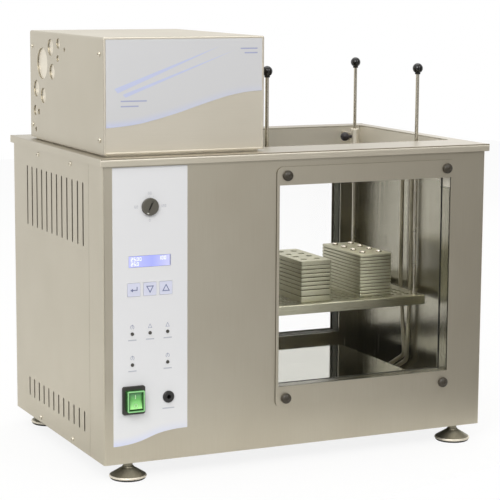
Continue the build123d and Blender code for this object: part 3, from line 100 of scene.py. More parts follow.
# %% [markdown]
# ## Stainless sheet
# The cabinet, the deck and the housing are folded from stainless sheet with a fine satin grain. The
# grain is a tenth of a millimetre wide on the real sheet. It is drawn at half a millimetre, or it
# would fall between the render's pixels, and it only changes the gloss and the bump a little, which
# gives the soft, even reflections. A slow cloud of colour keeps large panels from looking painted.
# %% Stainless sheet in its finishes
deck_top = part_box("deck")[1][2]
# The tank's wall above the collar is ground matt and painted pale: painted light on its top.
tank_collar = deck_top - 62 * mm                # the tank's wall is ground matt from here up
collar_light, collar_rough = "#FBF6EA", 0.65


def sheet_metal(name, light, dark, rough, along, grain=0.5, length=60, relief=0.02, uneven=0.05,
                stretched=0.0, collar=None):
    """Rolled or ground sheet: along is its grain's axis; above the height collar it is matt and painted
    pale, painted light on the wall's top.
    """
    made, tree, shader, place = start(name, light, Metallic=1.0, Anisotropic=stretched)
    fine, long = 1 / (grain * mm), 1 / (length * mm)
    stretch = [long if axis == along else fine for axis in "XYZ"]
    streaks = add(tree, "ShaderNodeTexNoise", {
        "Vector": add(tree, "ShaderNodeMapping", {"Vector": place, "Scale": stretch}),
        "Scale": 1.0, "Detail": 3.0})
    clouds = add(tree, "ShaderNodeTexNoise", {"Vector": place, "Scale": 1 / (120 * mm), "Detail": 2.0})
    both = add(tree, "ShaderNodeMath", {0: streaks, 1: clouds}, operation="ADD")
    tint = add(tree, "ShaderNodeMapRange", {"Value": both, "From Min": 0.7, "From Max": 1.3})
    shades = add(tree, "ShaderNodeMix", {"Factor": tint, 6: colour(dark), 7: colour(light)},
                 data_type="RGBA")
    gloss = add(tree, "ShaderNodeMapRange", {
        "Value": streaks, "From Min": 0.25, "From Max": 0.75,
        "To Min": rough - uneven, "To Max": rough + uneven})
    bump = add(tree, "ShaderNodeBump", {
        "Height": streaks, "Strength": 0.25, "Distance": relief * mm})
    paint, shine = shades, gloss
    if collar:
        height = add(tree, "ShaderNodeSeparateXYZ", {0: place}).outputs[2]
        above = add(tree, "ShaderNodeMapRange", {
            "Value": height, "From Min": collar - mm, "From Max": collar})
        paint = add(tree, "ShaderNodeMix", {"Factor": above, 6: paint, 7: colour(collar_light)},
                    data_type="RGBA")
        shine = add(tree, "ShaderNodeMix", {"Factor": above, 2: shine, 3: collar_rough})
    fill(tree, shader, {"Base Color": paint, "Roughness": shine, "Normal": bump})
    return made


satin_upright = sheet_metal("stainless_satin_upright", "#CEC7B6", "#C6BEAC", 0.42, "Z")
# A darker copy of the same satin: painted shade on the left panel, the housing's cover, the deck's lip and
# the panel's left turn.
satin_side = sheet_metal("stainless_satin_side", "#C4BDAD", "#BCB5A4", 0.42, "Z")
# The level copy runs its grain along x and is painted darker: painted shade on the deck's top.
satin_level = sheet_metal("stainless_satin_level", "#B6B0A1", "#AEA697", 0.40, "X")
bright_sheet = sheet_metal("stainless_cold_rolled", "#B8B4A4", "#A6A292", 0.26, "Z", grain=1.5, length=220,
                           relief=0.002, uneven=0.015, stretched=0.85, collar=tank_collar)
pickled_sheet = sheet_metal("stainless_pickled", "#C2BFA9", "#B2AF99", 0.30, "X")
# The window plates' side edges are painted dark: a painted shadow line along them.
sheared_edge = sheet_metal("stainless_sheared_edge", "#7D796B", "#6D695B", 0.6, "Y")
# A painted shadow line along the deck bead's fold.
fold_line = sheet_metal("stainless_fold_line", "#9F9786", "#938B7A", 0.5, "X")
mirror_sheet = sheet_metal("stainless_mirror_polished", "#C4C3B6", "#BAB9AC", 0.06, "X", grain=6,
                           length=200, relief=0.0)
# The fine ground sheet is lighter than the rest: partly its finish, and partly a painted highlight on the
# rims, the bead's roll, the clamp's sleeve, the vent backing and the feet.
ground_sheet = sheet_metal("stainless_fine_ground", "#E9E2D3", "#E2DBCB", 0.5, "X")
# The hem is a shaded copy of the fine ground sheet: painted shade on the deck's lip.
hem_sheet = sheet_metal("stainless_hem", "#DFD8C7", "#D7CFBE", 0.5, "X")
foot_steel = sheet_metal("pressed_steel_foot", "#95907F", "#858070", 0.48, "Z", grain=2.0, length=20)
zinc_plate = sheet_metal("zinc_plated_steel", "#B4B3AC", "#9C9B95", 0.34, "X", grain=3.0, length=12)
print("sheet finishes:", len(bpy.data.materials))

# %% [markdown]
# ## Turned and drawn metal
# The lift rods are polished bar, the heater sheaths have a straw tint from their heat, the plates on
# the shelf are satin aluminium, and the drain is brass. Turned metal has fine rings, far under a
# pixel wide, so these finishes use a plain low roughness with a little noise in it.
# %% Bar, sheath, aluminium and brass
def metal(name, light, dark, rough, spot=6.0):
    """A plain metal whose colour and gloss change slowly from place to place."""
    made, tree, shader, place = start(name, light, Metallic=1.0)
    noise = add(tree, "ShaderNodeTexNoise", {"Vector": place, "Scale": 1 / (spot * mm), "Detail": 4.0})
    shades = add(tree, "ShaderNodeMix", {"Factor": noise, 6: colour(dark), 7: colour(light)},
                 data_type="RGBA")
    gloss = add(tree, "ShaderNodeMapRange", {
        "Value": noise, "From Min": 0.3, "From Max": 0.7,
        "To Min": rough - 0.04, "To Max": rough + 0.06})
    fill(tree, shader, {"Base Color": shades, "Roughness": gloss})
    return made


polished_bar = metal("polished_stainless_bar", "#DAD4C6", "#CDC6B6", 0.24, spot=80)
heater_sheath = metal("heat_tinted_sheath", "#C6BFAA", "#AEA690", 0.36, spot=30)
plate_metal = metal("satin_aluminium_plate", "#C8C5AF", "#B0AD95", 0.47, spot=14)
plate_groove = metal("dull_aluminium_groove", "#625E4A", "#4E4B38", 0.5, spot=14)
screw_head = metal("stainless_button_head", "#DDD6C6", "#CBC4B3", 0.34)
brass = metal("turned_brass", "#D9BC74", "#C2A35E", 0.22)
print("metals:", polished_bar.name, heater_sheath.name, plate_metal.name, brass.name)

# %% [markdown]
# ## Plastics, rubber, paint and foam
# Moulded parts copy a spark-eroded mould, so they get a fine grain in the bump. Ball knobs are
# phenolic and polished. Everything black is a dark grey here, as real black plastic is.
# %% Moulded and painted finishes
def moulded(name, code, rough, grain=0.4, relief=0.03, shade=0.9, **plain):
    """A moulded, painted or foamed surface: a grain in the bump and a slight change of shade."""
    made, tree, shader, place = start(name, code, Roughness=rough, **plain)
    noise = add(tree, "ShaderNodeTexNoise", {"Vector": place, "Scale": 1 / (grain * mm), "Detail": 2.0})
    cloud = add(tree, "ShaderNodeTexNoise", {"Vector": place, "Scale": 1 / (25 * mm)})
    darker = tuple(c * shade for c in colour(code)[:3]) + (1.0,)
    shades = add(tree, "ShaderNodeMix", {"Factor": cloud, 6: darker, 7: colour(code)},
                 data_type="RGBA")
    bump = add(tree, "ShaderNodeBump", {
        "Height": noise, "Strength": 0.3, "Distance": relief * mm})
    fill(tree, shader, {"Base Color": shades, "Normal": bump})
    return made


black_moulding = moulded("black_nylon_moulding", "#3A3834", 0.42)
dial_moulding = moulded("dark_grey_dial_moulding", "#57544B", 0.45)
socket_moulding = moulded("black_socket_moulding", "#292827", 0.35)
# The rear window's spacer is painted dark: painted shade where it lies inside the tank.
window_seal = moulded("dark_window_seal", "#474638", 0.8)
black_phenolic = moulded("polished_black_phenolic", "#1C1B1A", 0.12, relief=0.0)
nut_cap = moulded("black_nut_cap", "#3A3429", 0.4)
clamp_grip = moulded("black_clamp_grip", "#241E1F", 0.5)
key_rubber = moulded("pale_key_moulding", "#D6D8E9", 0.5)
lamp_lens = moulded("dark_lamp_lens", "#4C4944", 0.18, relief=0.0)
rubber = moulded("moulded_rubber", "#2C2B29", 0.7, grain=0.8, relief=0.05)
foam = moulded("closed_cell_foam", "#DAD3B4", 0.85, grain=2.0, relief=0.5)
board_green = moulded("circuit_board_laminate", "#2C6B41", 0.45)
grey_paint = moulded("grey_hammer_paint", "#777C82", 0.38, grain=3.0, relief=0.15)
white_moulding = moulded("white_moulding", "#DEDDD6", 0.45)
ink = moulded("slate_print", "#7C84A8", 0.6, relief=0.0)
soft_ink = moulded("soft_slate_print", "#A3A8C6", 0.6, relief=0.0)
grey_ink = moulded("grey_print", "#B9BBC3", 0.6, relief=0.0)
pale_ink = moulded("pale_blue_print", "#C1C7E2", 0.5, relief=0.0)
print("moulded finishes:", len(bpy.data.materials))

# %% [markdown]
# ## Glass
# Each window is two panes of float glass with air between, so a line of sight goes through eight
# faces. Real glass of this kind loses little light at each, and the index is matched down from 1.5
# until the backdrop shows as white through all of them, as it does in life. Shadow rays pass straight
# through, or lamps could not light the tank behind the glass.
# %% Window glass
glass, tree, shader = start("float_glass", "#FFFFFF", Roughness=0.0, IOR=1.12, Transmission_Weight=1.0)[:3]
through = add(tree, "ShaderNodeBsdfTransparent", {"Color": colour("#FCFDFC")})
pick = add(tree, "ShaderNodeMixShader", {0: add(tree, "ShaderNodeLightPath").outputs["Is Shadow Ray"],
                                         1: shader, 2: through})
fill(tree, tree.nodes["Material Output"], {"Surface": pick})
print(glass.name, "index", round(shader.inputs["IOR"].default_value, 3))

# %% [markdown]
# ## Printed film
# The label on the housing and the control strip are printed polyester film. A pale band follows each
# wavy lower edge and fades upwards. The edge's curve is drawn once as a curve node over the label's
# width, and the height above it picks the colour.
# %% Printed film with a band along its lower edge
def film(name, node, low, rise, places, band, code, band_code):
    """Film over a node: its lower edge starts at low and climbs by rise, as places says."""
    made, tree, shader, place = start(name, code, Roughness=0.38)
    lowest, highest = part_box(node)
    split = add(tree, "ShaderNodeSeparateXYZ", {0: place})
    across = add(tree, "ShaderNodeMapRange", {
        "Value": split.outputs[0], "From Min": lowest[0], "From Max": highest[0]})
    edge = add(tree, "ShaderNodeFloatCurve", {"Value": across})
    line = edge.mapping.curves[0]
    line.points[0].location, line.points[1].location = places[0], places[-1]
    for spot in places[1:-1]:
        line.points.new(*spot)
    edge.mapping.update()
    height = add(tree, "ShaderNodeMath", {0: edge, 1: -rise, 2: split.outputs[2]},
                 operation="MULTIPLY_ADD")
    fade = add(tree, "ShaderNodeMapRange", {
        "Value": height, "From Min": low - band * 0.2, "From Max": low + band,
        "To Min": 1.0, "To Max": 0.0}, interpolation_type="SMOOTHSTEP")
    thin = add(tree, "ShaderNodeMapRange", {"Value": across, "To Min": 1.0, "To Max": 0.35})
    strong = add(tree, "ShaderNodeMath", {0: fade, 1: thin}, operation="MULTIPLY")
    shades = add(tree, "ShaderNodeMix", {
        "Factor": strong, 6: colour(code), 7: colour(band_code)}, data_type="RGBA")
    fill(tree, shader, {"Base Color": shades})
    return made


head_wave = ((0, 0), (0.084, 0.026), (0.184, 0.079), (0.286, 0.179), (0.388, 0.306), (0.470, 0.419),
             (0.573, 0.576), (0.677, 0.729), (0.751, 0.834), (0.835, 0.921), (0.909, 0.974), (1, 1))
strip_wave = ((0, 0), (0.17, 0.06), (0.39, 0.32), (0.57, 0.70), (0.73, 0.90), (0.84, 0.97), (1, 1))
label_low, label_rise = deck_top + 39.1 * mm, 45.8 * mm
head_film = film("printed_film_head", "head_label", label_low, label_rise, head_wave, 12 * mm,
                 "#CACACB", "#BFC5E0")
strip_film = film("printed_film_strip", "control_label", deck_top - 396.6 * mm, 17.4 * mm, strip_wave,
                  14 * mm, "#DCDCDD", "#CCD1EA")
print("deck top", round(deck_top, 4))

# %% [markdown]
# ## Lit parts
# The display is a lit pale violet panel with light figures. The power switch is lit from inside by a green
# neon lamp, and the lower half of its rocker tilts up to the lamps above. A ramp of colours over the
# height of the rocker paints that light, brightest near its lower edge, with a painted shadow along the
# edge itself, and one over the width of the display draws the display's light.
# %% Display and switch
lit_parts = []
for name, code, rough, glow, node, axis, stops in (
        ("backlit_display", "#A9AEF6", 0.3, 0.12, "display_module", 0,
         ((0, "#C3C6FA"), (0.55, "#A6ADFB"), (1, "#D2D2F6"))),
        # the rocker: a painted shadow strip at its lower edge, then painted light fading towards its top
        ("lit_green_polycarbonate", "#7FE070", 0.18, 0.1, "power_rocker", 2,
         ((0, "#2F7A28"), (0.1, "#A6EA90"), (0.3, "#8AD27A"), (0.6, "#69B25E"), (1, "#5F9468")))):
    made, tree, shader, place = start(name, code, Roughness=rough, Emission_Strength=glow)
    low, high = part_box(node)
    split = add(tree, "ShaderNodeSeparateXYZ", {0: place})
    level = add(tree, "ShaderNodeMapRange", {
        "Value": split.outputs[axis], "From Min": low[axis], "From Max": high[axis]})
    shades = add(tree, "ShaderNodeValToRGB", {"Fac": level})
    ramp = shades.color_ramp.elements
    ramp[0].color, ramp[1].color = colour(stops[0][1]), colour(stops[-1][1])
    for spot, shade in stops[1:-1]:
        ramp.new(spot).color = colour(shade)
    fill(tree, shader, {"Base Color": shades, "Emission Color": shades})
    lit_parts.append(made)
display_panel, rocker_green = lit_parts
print("lit:", display_panel.name, rocker_green.name)

# %% The switch's shroud, pale at its rim, with painted shade deep green inside it
shroud_green, tree, shader, place = start("pale_green_polycarbonate", "#9ADB98", Roughness=0.2)
low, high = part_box("rocker_shroud")
split = add(tree, "ShaderNodeSeparateXYZ", {0: place})
# Painted shade: the shroud turns deep green inside its rim and away from its front face, where the recess
# round the rocker lies in shade.
deep = add(tree, "ShaderNodeMapRange", {
    "Value": split.outputs[1], "From Min": low.y + 0.4 * mm, "From Max": low.y + 1.6 * mm})
rims = []
for axis in (0, 2):
    half = (high[axis] - low[axis]) / 2
    centred = add(tree, "ShaderNodeMath", {0: split.outputs[axis], 1: low[axis] + half},
                  operation="SUBTRACT")
    away = add(tree, "ShaderNodeMath", {0: centred}, operation="ABSOLUTE")
    rims.append(add(tree, "ShaderNodeMapRange", {
        "Value": away, "From Min": half - 2.2 * mm, "From Max": half - 1.4 * mm}))
rim = add(tree, "ShaderNodeMath", {0: rims[0], 1: rims[1]}, operation="MAXIMUM")
inside = add(tree, "ShaderNodeMath", {0: 1.0, 1: rim}, operation="SUBTRACT")
level = add(tree, "ShaderNodeMath", {0: deep, 1: inside}, operation="MAXIMUM")
shades = add(tree, "ShaderNodeMix", {
    "Factor": level, 6: colour("#8FCF8A"), 7: colour("#2B5A28")}, data_type="RGBA")
fill(tree, shader, {"Base Color": shades})
print("shroud:", shroud_green.name)

# %% [markdown]
# ## Give every part its finish
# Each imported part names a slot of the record, such as cabinet_sheet. The slot picks the finish, and a
# few parts that share a slot but look different are named one by one.
# %% Finishes by slot, then by part
by_slot = {
    "cabinet_sheet": satin_upright, "tank_sheet": bright_sheet, "bright_steel": polished_bar,
    "galvanised": zinc_plate, "glass": glass, "black_plastic": black_moulding,
    "black_gloss": black_phenolic, "label_print": strip_film, "key_plastic": key_rubber,
    "display": display_panel, "green_pale": shroud_green, "green_bright": rocker_green,
    "lamp": lamp_lens, "rubber": rubber, "insulation": foam, "board": board_green,
    "cast_grey": grey_paint, "white_plastic": white_moulding, "brass": brass, "plate_light": plate_metal,
}
by_part = {
    "deck": satin_level, "head_label": head_film, "head_base": ground_sheet, "rod_clamp": satin_level,
    "safety_dial": dial_moulding, "accessory_socket": socket_moulding, "side_heaters": heater_sheath,
    "main_heater": heater_sheath, "front_window_plate": satin_upright, "rear_window_plate": satin_upright,
    "window_cap_nuts": nut_cap, "head_front_plate": ground_sheet, "false_bottom": mirror_sheet,
    "clamp_knob": clamp_grip, "head_cover": satin_side,
}
for name, part in nodes.items():
    slot = part.data.materials[0].name.split(".")[0]
    part.data.materials[0] = by_part.get(name, by_slot[slot])

# A second finish: painted shade on the plates' side edges, the darker satin as painted shade on the deck's
# lip and the panel's left turn, and painted shade on the rear spacer.
for name, finish, picks in (
        ("front_window_plate", sheared_edge, lambda face: abs(face.normal.y) < 0.5),
        ("rear_window_plate", sheared_edge, lambda face: abs(face.normal.y) < 0.5),
        ("deck", satin_side, lambda face: abs(face.normal.z) < 0.5),
        ("front_panel", satin_side, lambda face: face.normal.x < -0.5),
        ("window_spacers", window_seal, lambda face: face.center.y > 0)):
    mesh = nodes[name].data
    mesh.materials.append(finish)
    for face in mesh.polygons:
        if picks(face):
            face.material_index = 1
print("finished", len(nodes), "parts")

# %% [markdown]
# ## Shapes from loops
# Most of the pieces that are made again are piles of loops with a skin over them: circles for what
# was turned on a lathe, rounded rectangles for plates. A loop is a list of points in millimetres, in
# the piece's own frame, where z is the way it faces. Edges sharper than 30 degrees stay crisp.
# %% Loops and skins
def circle(radius, height, sides=32):
    """Points round a circle; a radius of nothing closes the piece."""
    turns = [2 * pi * step / sides for step in range(sides)]
    return [Vector((radius * cos(turn), radius * sin(turn), height)) for turn in turns]


def frame_loop(width, depth, corner, height, inset=0.0, steps=4):
    """Points round a rectangle with round corners, drawn in by inset."""
    radius = max(corner - inset, 0.01)
    across, along = width / 2 - inset - radius, depth / 2 - inset - radius
    points = []
    for quarter, (x, y) in enumerate(((1, 1), (-1, 1), (-1, -1), (1, -1))):
        for step in range(steps + 1):
            turn = (quarter + step / steps) * pi / 2
            points.append(Vector((x * across + radius * cos(turn), y * along + radius * sin(turn),
                                  height)))
    return points


def crisp(mesh, sharp=30):
    """Join doubled points, turn every face outwards and keep only the real edges sharp."""
    shape = bmesh.new()
    shape.from_mesh(mesh)
    bmesh.ops.remove_doubles(shape, verts=shape.verts, dist=1e-6)
    bmesh.ops.recalc_face_normals(shape, faces=shape.faces)
    shape.to_mesh(mesh)
    shape.free()
    mesh.shade_smooth()
    mesh.set_sharp_from_angle(angle=radians(sharp))
    return mesh


def skin(name, loops, bands=None, ring=False):
    """A mesh over loops; bands are the finish numbers between them, and a ring has no ends."""
    count = len(loops[0])
    points = [point * mm for loop in loops for point in loop]
    faces = []
    for level in range(len(loops) - 1):
        for step in range(count):
            low, high, after = level * count, (level + 1) * count, (step + 1) % count
            faces.append((low + step, low + after, high + after, high + step))
    made = bpy.data.meshes.new(name)
    ends = [] if ring else [tuple(range(count)), tuple(range(len(points) - count, len(points)))]
    ends = [end for end in ends if (points[end[0]] - points[end[1]]).length > 1e-6]
    made.from_pydata(points, [], faces + ends)
    for number, finish in enumerate(bands or []):
        for step in range(count):
            made.polygons[number * count + step].material_index = finish
    return crisp(made)


def turned(name, profile, sides=32, bands=None):
    """A lathe piece from (radius, height) pairs."""
    return skin(name, [circle(radius, height, sides) for radius, height in profile], bands)


def keep(name, mesh, finishes, body="cabinet", *stands_for):
    """Make a mesh an object that rides a body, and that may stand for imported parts."""
    made = bpy.data.objects.new(name, mesh)
    scene.collection.objects.link(made)
    numbers = [face.material_index if len(finishes) > 1 else 0 for face in mesh.polygons]
    mesh.materials.clear()
    for finish in finishes:
        mesh.materials.append(finish)
    mesh.polygons.foreach_set("material_index", numbers)
    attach(made, body)
    if stands_for:
        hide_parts(*stands_for)
    return made


print("loops ready:", len(circle(1, 0)), len(frame_loop(10, 10, 2, 0)))

# %% [markdown]
# ## Copies set out by nodes
# Cap nuts, screws, knobs and plates are each made once and copied by a node tree. The tree stands a
# copy on every point of a small mesh, turns it to face the way stored at the point, and gives screws
# a turn of their own about their axis, since nobody lines them up. A fixed seed keeps that turn.
# %% Node groups with named inputs
def group(name, sizes):
    """Start a geometry tree whose inputs are (name, kind) pairs."""
    tree = bpy.data.node_groups.new(name, "GeometryNodeTree")
    tree.interface.new_socket("Geometry", in_out="OUTPUT", socket_type="NodeSocketGeometry")
    for label, kind in [("Geometry", "Geometry")] + sizes:
        tree.interface.new_socket(label, in_out="INPUT", socket_type="NodeSocket" + kind)
    return tree, add(tree, "NodeGroupInput").outputs


def grow(name, mesh, tree, values):
    """Run a tree on a mesh with these values, and keep what it makes as a plain mesh."""
    host = bpy.data.objects.new(name, mesh)
    scene.collection.objects.link(host)
    modifier = host.modifiers.new("shape", "NODES")
    modifier.node_group = tree
    for socket in tree.interface.items_tree:
        if socket.in_out == "INPUT" and socket.name in values:
            modifier[socket.identifier] = values[socket.name]
    grown = bpy.data.meshes.new_from_object(host.evaluated_get(bpy.context.evaluated_depsgraph_get()))
    bpy.data.objects.remove(host)
    grown.name = name
    return grown


def end(tree, geometry, finish):
    """Close a geometry tree: make its copies real, give them the finish and send them out."""
    real = add(tree, "GeometryNodeRealizeInstances", {0: geometry})
    painted = add(tree, "GeometryNodeSetMaterial", {"Geometry": real, "Material": finish})
    add(tree, "NodeGroupOutput", {0: painted})


set_out, given = group("set_out", [("Piece", "Object"), ("Finish", "Material"), ("Spin", "Float"),
                                   ("Seed", "Int")])
way = add(set_out, "GeometryNodeInputNamedAttribute", {"Name": "facing"}, data_type="FLOAT_VECTOR")
facing = add(set_out, "FunctionNodeAlignRotationToVector", {"Vector": way}, axis="Z")
chance = add(set_out, "FunctionNodeRandomValue", {3: given["Spin"], "Seed": given["Seed"]},
             data_type="FLOAT")
turn = add(set_out, "FunctionNodeAxisAngleToRotation", {"Angle": chance})
both = add(set_out, "FunctionNodeRotateRotation", {0: facing, 1: turn},
           rotation_space="LOCAL")
piece = add(set_out, "GeometryNodeObjectInfo", {"Object": given["Piece"], "As Instance": True})
copies = add(set_out, "GeometryNodeInstanceOnPoints", {
    "Points": given["Geometry"], "Instance": piece.outputs["Geometry"], "Rotation": both})
end(set_out, copies, given["Finish"])


def spread(name, mesh, places, finish, spin=0.0):
    """Copies of a mesh at places, each a (point in metres, direction) pair."""
    points = bpy.data.meshes.new(name)
    points.from_pydata([place for place, facing in places], [], [])
    ways = points.attributes.new("facing", "FLOAT_VECTOR", "POINT")
    for item, (place, facing) in zip(ways.data, places):
        item.vector = facing
    return grow(name, points, set_out, {"Piece": bpy.data.objects.new("piece", mesh), "Finish": finish,
                                        "Spin": spin, "Seed": 7})


def keep_copies(name, mesh, places, finish, body, node, spin=0.0):
    """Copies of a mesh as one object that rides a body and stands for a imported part."""
    keep(name, spread(name, mesh, places, finish, spin), [finish], body, node)


print("tree", set_out.name, "has", len(set_out.nodes), "nodes")

# %% [markdown]
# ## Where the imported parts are
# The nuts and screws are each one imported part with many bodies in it. Their places are read from
# those bodies, so the fine pieces stand just where the plain ones did.
# %% Boxes of a part's separate bodies
def bodies_of(node):
    """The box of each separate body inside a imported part, as two corners."""
    mesh = nodes[node].data
    keys = [tuple(round(c, 5) for c in v.co) for v in mesh.vertices]
    parent = {key: key for key in keys}

    def root(key):
        while parent[key] != key:
            parent[key] = parent[parent[key]]
            key = parent[key]
        return key

    for edge in mesh.edges:
        parent[root(keys[edge.vertices[0]])] = root(keys[edge.vertices[1]])
    found = {}
    for key in parent:
        found.setdefault(root(key), []).append(key)
    return sorted((Vector(map(min, *points)), Vector(map(max, *points))) for points in found.values())


def middle_of(corners):
    """The middle of a box."""
    return (corners[0] + corners[1]) / 2


print("cap nuts", len(bodies_of("window_cap_nuts")), "screws", len(bodies_of("case_screws")))

# %% [markdown]
# ## Cap nuts and case screws
# A moulded cap hides each stud that clamps a window: a straight edge, a dome and a shallow dimple
# where the mould's gate was. The case screws are button heads with a hexagon socket.
# %% Cap nuts
nut_height = 7.0
nut_dome = [(7.5 * cos(turn), 2.4 + 4.4 * sin(turn)) for turn in (0.0, 0.3, 0.6, 0.85, 1.05, 1.2)]
nut = turned("cap_nut", [(7.5, 0), *nut_dome, (2.4, 6.9), (2.0, 6.4), (0, 6.2)])
places = []
for low, high in bodies_of("window_cap_nuts"):
    out = -1 if low.y < 0 else 1
    seat = (low.y if out < 0 else high.y) - out * nut_height * mm
    centre = middle_of((low, high))
    places.append(((centre.x, seat, centre.z), (0, out, 0)))
keep_copies("window_cap_nuts_fine", nut, places, nut_cap, "cabinet", "window_cap_nuts")
print("cap nuts", len(places), "faces", len(nut.polygons) * len(places))

# %% Case screws
sides, across_flats = 24, 2.7
socket = []
for step in range(sides):
    turn = 2 * pi * step / sides
    radius = across_flats / 2 / cos(turn % (pi / 3) - pi / 6)
    socket.append(Vector((radius * cos(turn), radius * sin(turn), 0)))
button = [circle(radius, height, sides) for radius, height in
          ((3.4, 0), (3.4, 0.35), (3.0, 1.1), (2.3, 1.6), (1.7, 1.8))]
button += [[point + Vector((0, 0, height)) for point in socket] for height in (1.8, 0.6)]
screw = skin("button_screw", button)
places = []
for low, high in bodies_of("case_screws"):
    spot = middle_of((low, high))
    out = -1 if spot.x < -0.2 else 1
    places.append(((high.x if out < 0 else low.x, spot.y, spot.z), (out, 0, 0)))
keep_copies("case_screws_fine", screw, places, screw_head, "cabinet", "case_screws", spin=2 * pi)
print("screws", len(places), "faces", len(screw.polygons) * len(places))

# %% [markdown]
# ## Pierced sheet
# The left panel's slots and the shelf's holes are punched in rows. A node tree draws the outline,
# stands a hole on each point of a grid, fills between them and gives the sheet its thickness.
# %% The pierced sheet tree
def pierced(name, width, height, corner, thick, rows, turn, place, finish):
    """Sheet with rows of holes; a row is (width, height, pitch x, pitch y, count x, count y, middle)."""
    labels = ("hole_width", "hole_height", "pitch_x", "pitch_y", "count_x", "count_y", "middle_x",
              "middle_y")
    sizes = [(f"{label}_{number}", "Int" if label.startswith("count") else "Float")
             for number in range(len(rows)) for label in labels]
    sheet = [(label, "Float") for label in ("width", "height", "corner", "thick")]
    tree, given = group(name, sheet + [("turn", "Rotation"), ("place", "Vector"),
                                       ("finish", "Material")] + sizes)

    def rounded(wide, high, radius, count):
        plain = add(tree, "GeometryNodeCurvePrimitiveQuadrilateral", {"Width": wide, "Height": high})
        return add(tree, "GeometryNodeFilletCurve", {"Curve": plain, "Count": count,
                                                     "Radius": radius}, mode="POLY")

    curves = add(tree, "GeometryNodeJoinGeometry")
    fill(tree, curves, {0: rounded(given["width"], given["height"], given["corner"], 4)})
    for number in range(len(rows)):
        wide, high, pitch_x, pitch_y, count_x, count_y, mid_x, mid_y = (
            given[f"{label}_{number}"] for label in labels)
        least = add(tree, "ShaderNodeMath", {0: wide, 1: high}, operation="MINIMUM")
        radius = add(tree, "ShaderNodeMath", {0: least, 1: 0.499}, operation="MULTIPLY")
        sides = []
        for pitch, count in ((pitch_x, count_x), (pitch_y, count_y)):
            gaps = add(tree, "ShaderNodeMath", {0: count, 1: 1.0}, operation="SUBTRACT")
            sides.append(add(tree, "ShaderNodeMath", {0: gaps, 1: pitch}, operation="MULTIPLY"))
        grid = add(tree, "GeometryNodeMeshGrid", {
            "Size X": sides[0], "Size Y": sides[1],
            "Vertices X": count_x, "Vertices Y": count_y})
        shift = add(tree, "ShaderNodeCombineXYZ", {0: mid_x, 1: mid_y})
        moved = add(tree, "GeometryNodeTransform", {
            "Geometry": grid, "Translation": shift})
        holes = add(tree, "GeometryNodeInstanceOnPoints", {
            "Points": moved, "Instance": rounded(wide, high, radius, 4)})
        real = add(tree, "GeometryNodeRealizeInstances", {0: holes})
        fill(tree, curves, {0: real})
    filled = add(tree, "GeometryNodeFillCurve", {0: curves}, mode="TRIANGLES")
    raised = add(tree, "GeometryNodeExtrudeMesh", {
        "Mesh": filled, "Offset Scale": given["thick"], "Individual": False}, mode="FACES")
    under = add(tree, "GeometryNodeFlipFaces", {0: filled})
    solid = add(tree, "GeometryNodeJoinGeometry", {0: under})
    fill(tree, solid, {0: raised})
    placed = add(tree, "GeometryNodeTransform", {
        "Geometry": solid, "Translation": given["place"], "Rotation": given["turn"]})
    end(tree, placed, given["finish"])
    values = {"width": width * mm, "height": height * mm, "corner": corner * mm, "thick": thick * mm,
              "turn": turn, "place": place, "finish": finish}
    for number, row in enumerate(rows):
        for label, size in zip(labels, row):
            values[f"{label}_{number}"] = size if label.startswith("count") else size * mm
    return crisp(grow(name, bpy.data.meshes.new(name), tree, values))


print("pierced sheet ready")

# %% [markdown]
# ## Left side panel
# The electronics breathe through two rows of twelve slots with round ends, as a punch leaves them.
# %% Left side panel
low, high = (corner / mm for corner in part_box("left_side_panel"))
wide, tall = high.y - low.y, high.z - low.z
slot_width, slot_pitch, slot_count = 4.6, 22.05, 12
first_slot = -114.0
slots_middle = first_slot + slot_pitch * (slot_count - 1) / 2 - (low.y + high.y) / 2
rows = [(slot_width, top - bottom, slot_pitch, 0.0, slot_count, 1, slots_middle,
         (top + bottom) / 2 - (low.z + high.z) / 2) for bottom, top in ((317.0, 406.2), (54.5, 83.5))]
panel = pierced("left_side_panel_fine", wide, tall, 0.3, high.x - low.x, rows, (pi / 2, 0, pi / 2),
                (low.x * mm, (low.y + high.y) / 2 * mm, (low.z + high.z) / 2 * mm), satin_side)
keep("left_side_panel_fine", panel, [satin_side], "cabinet", "left_side_panel")
print("left panel faces", len(panel.polygons))

# %% [markdown]
# ## Perforated shelf
# The shelf is a tray turned upside down: its top is punched all over so that the liquid can rise
# through it, and its edges are folded down with a small bend radius that catches the light.
# %% Shelf
low, high = (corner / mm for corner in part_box("shelf"))
wide, deep, centre = high.x - low.x, high.y - low.y, (low + high) / 2
bend, gauge, corner = 2.0, 1.5, 3.0
top = pierced("shelf_top", wide - 2 * bend, deep - 2 * bend, corner - bend, gauge,
              [(9.4, 9.4, 13.0, 13.0, 19, 15, 0.0, 0.0)], (0, 0, 0),
              (centre.x * mm, centre.y * mm, (high.z - gauge) * mm), pickled_sheet)
profile = [(bend, high.z - gauge), (gauge, high.z - gauge - 0.4), (gauge, low.z), (0.0, low.z)]
profile += [(bend * (1 - cos(turn)), high.z - bend * (1 - sin(turn)))
            for turn in [step * pi / 10 for step in range(6)]]
profile += [profile[0]]
fold = skin("shelf_fold", [[point + Vector((centre.x, centre.y, 0)) for point in
                            frame_loop(wide, deep, corner, height, inset)] for inset, height in profile],
            ring=True)
keep("shelf_top_fine", top, [pickled_sheet], "carrier", "shelf")
keep("shelf_fold_fine", fold, [pickled_sheet], "carrier", "shelf")
print("shelf faces", len(top.polygons) + len(fold.polygons))

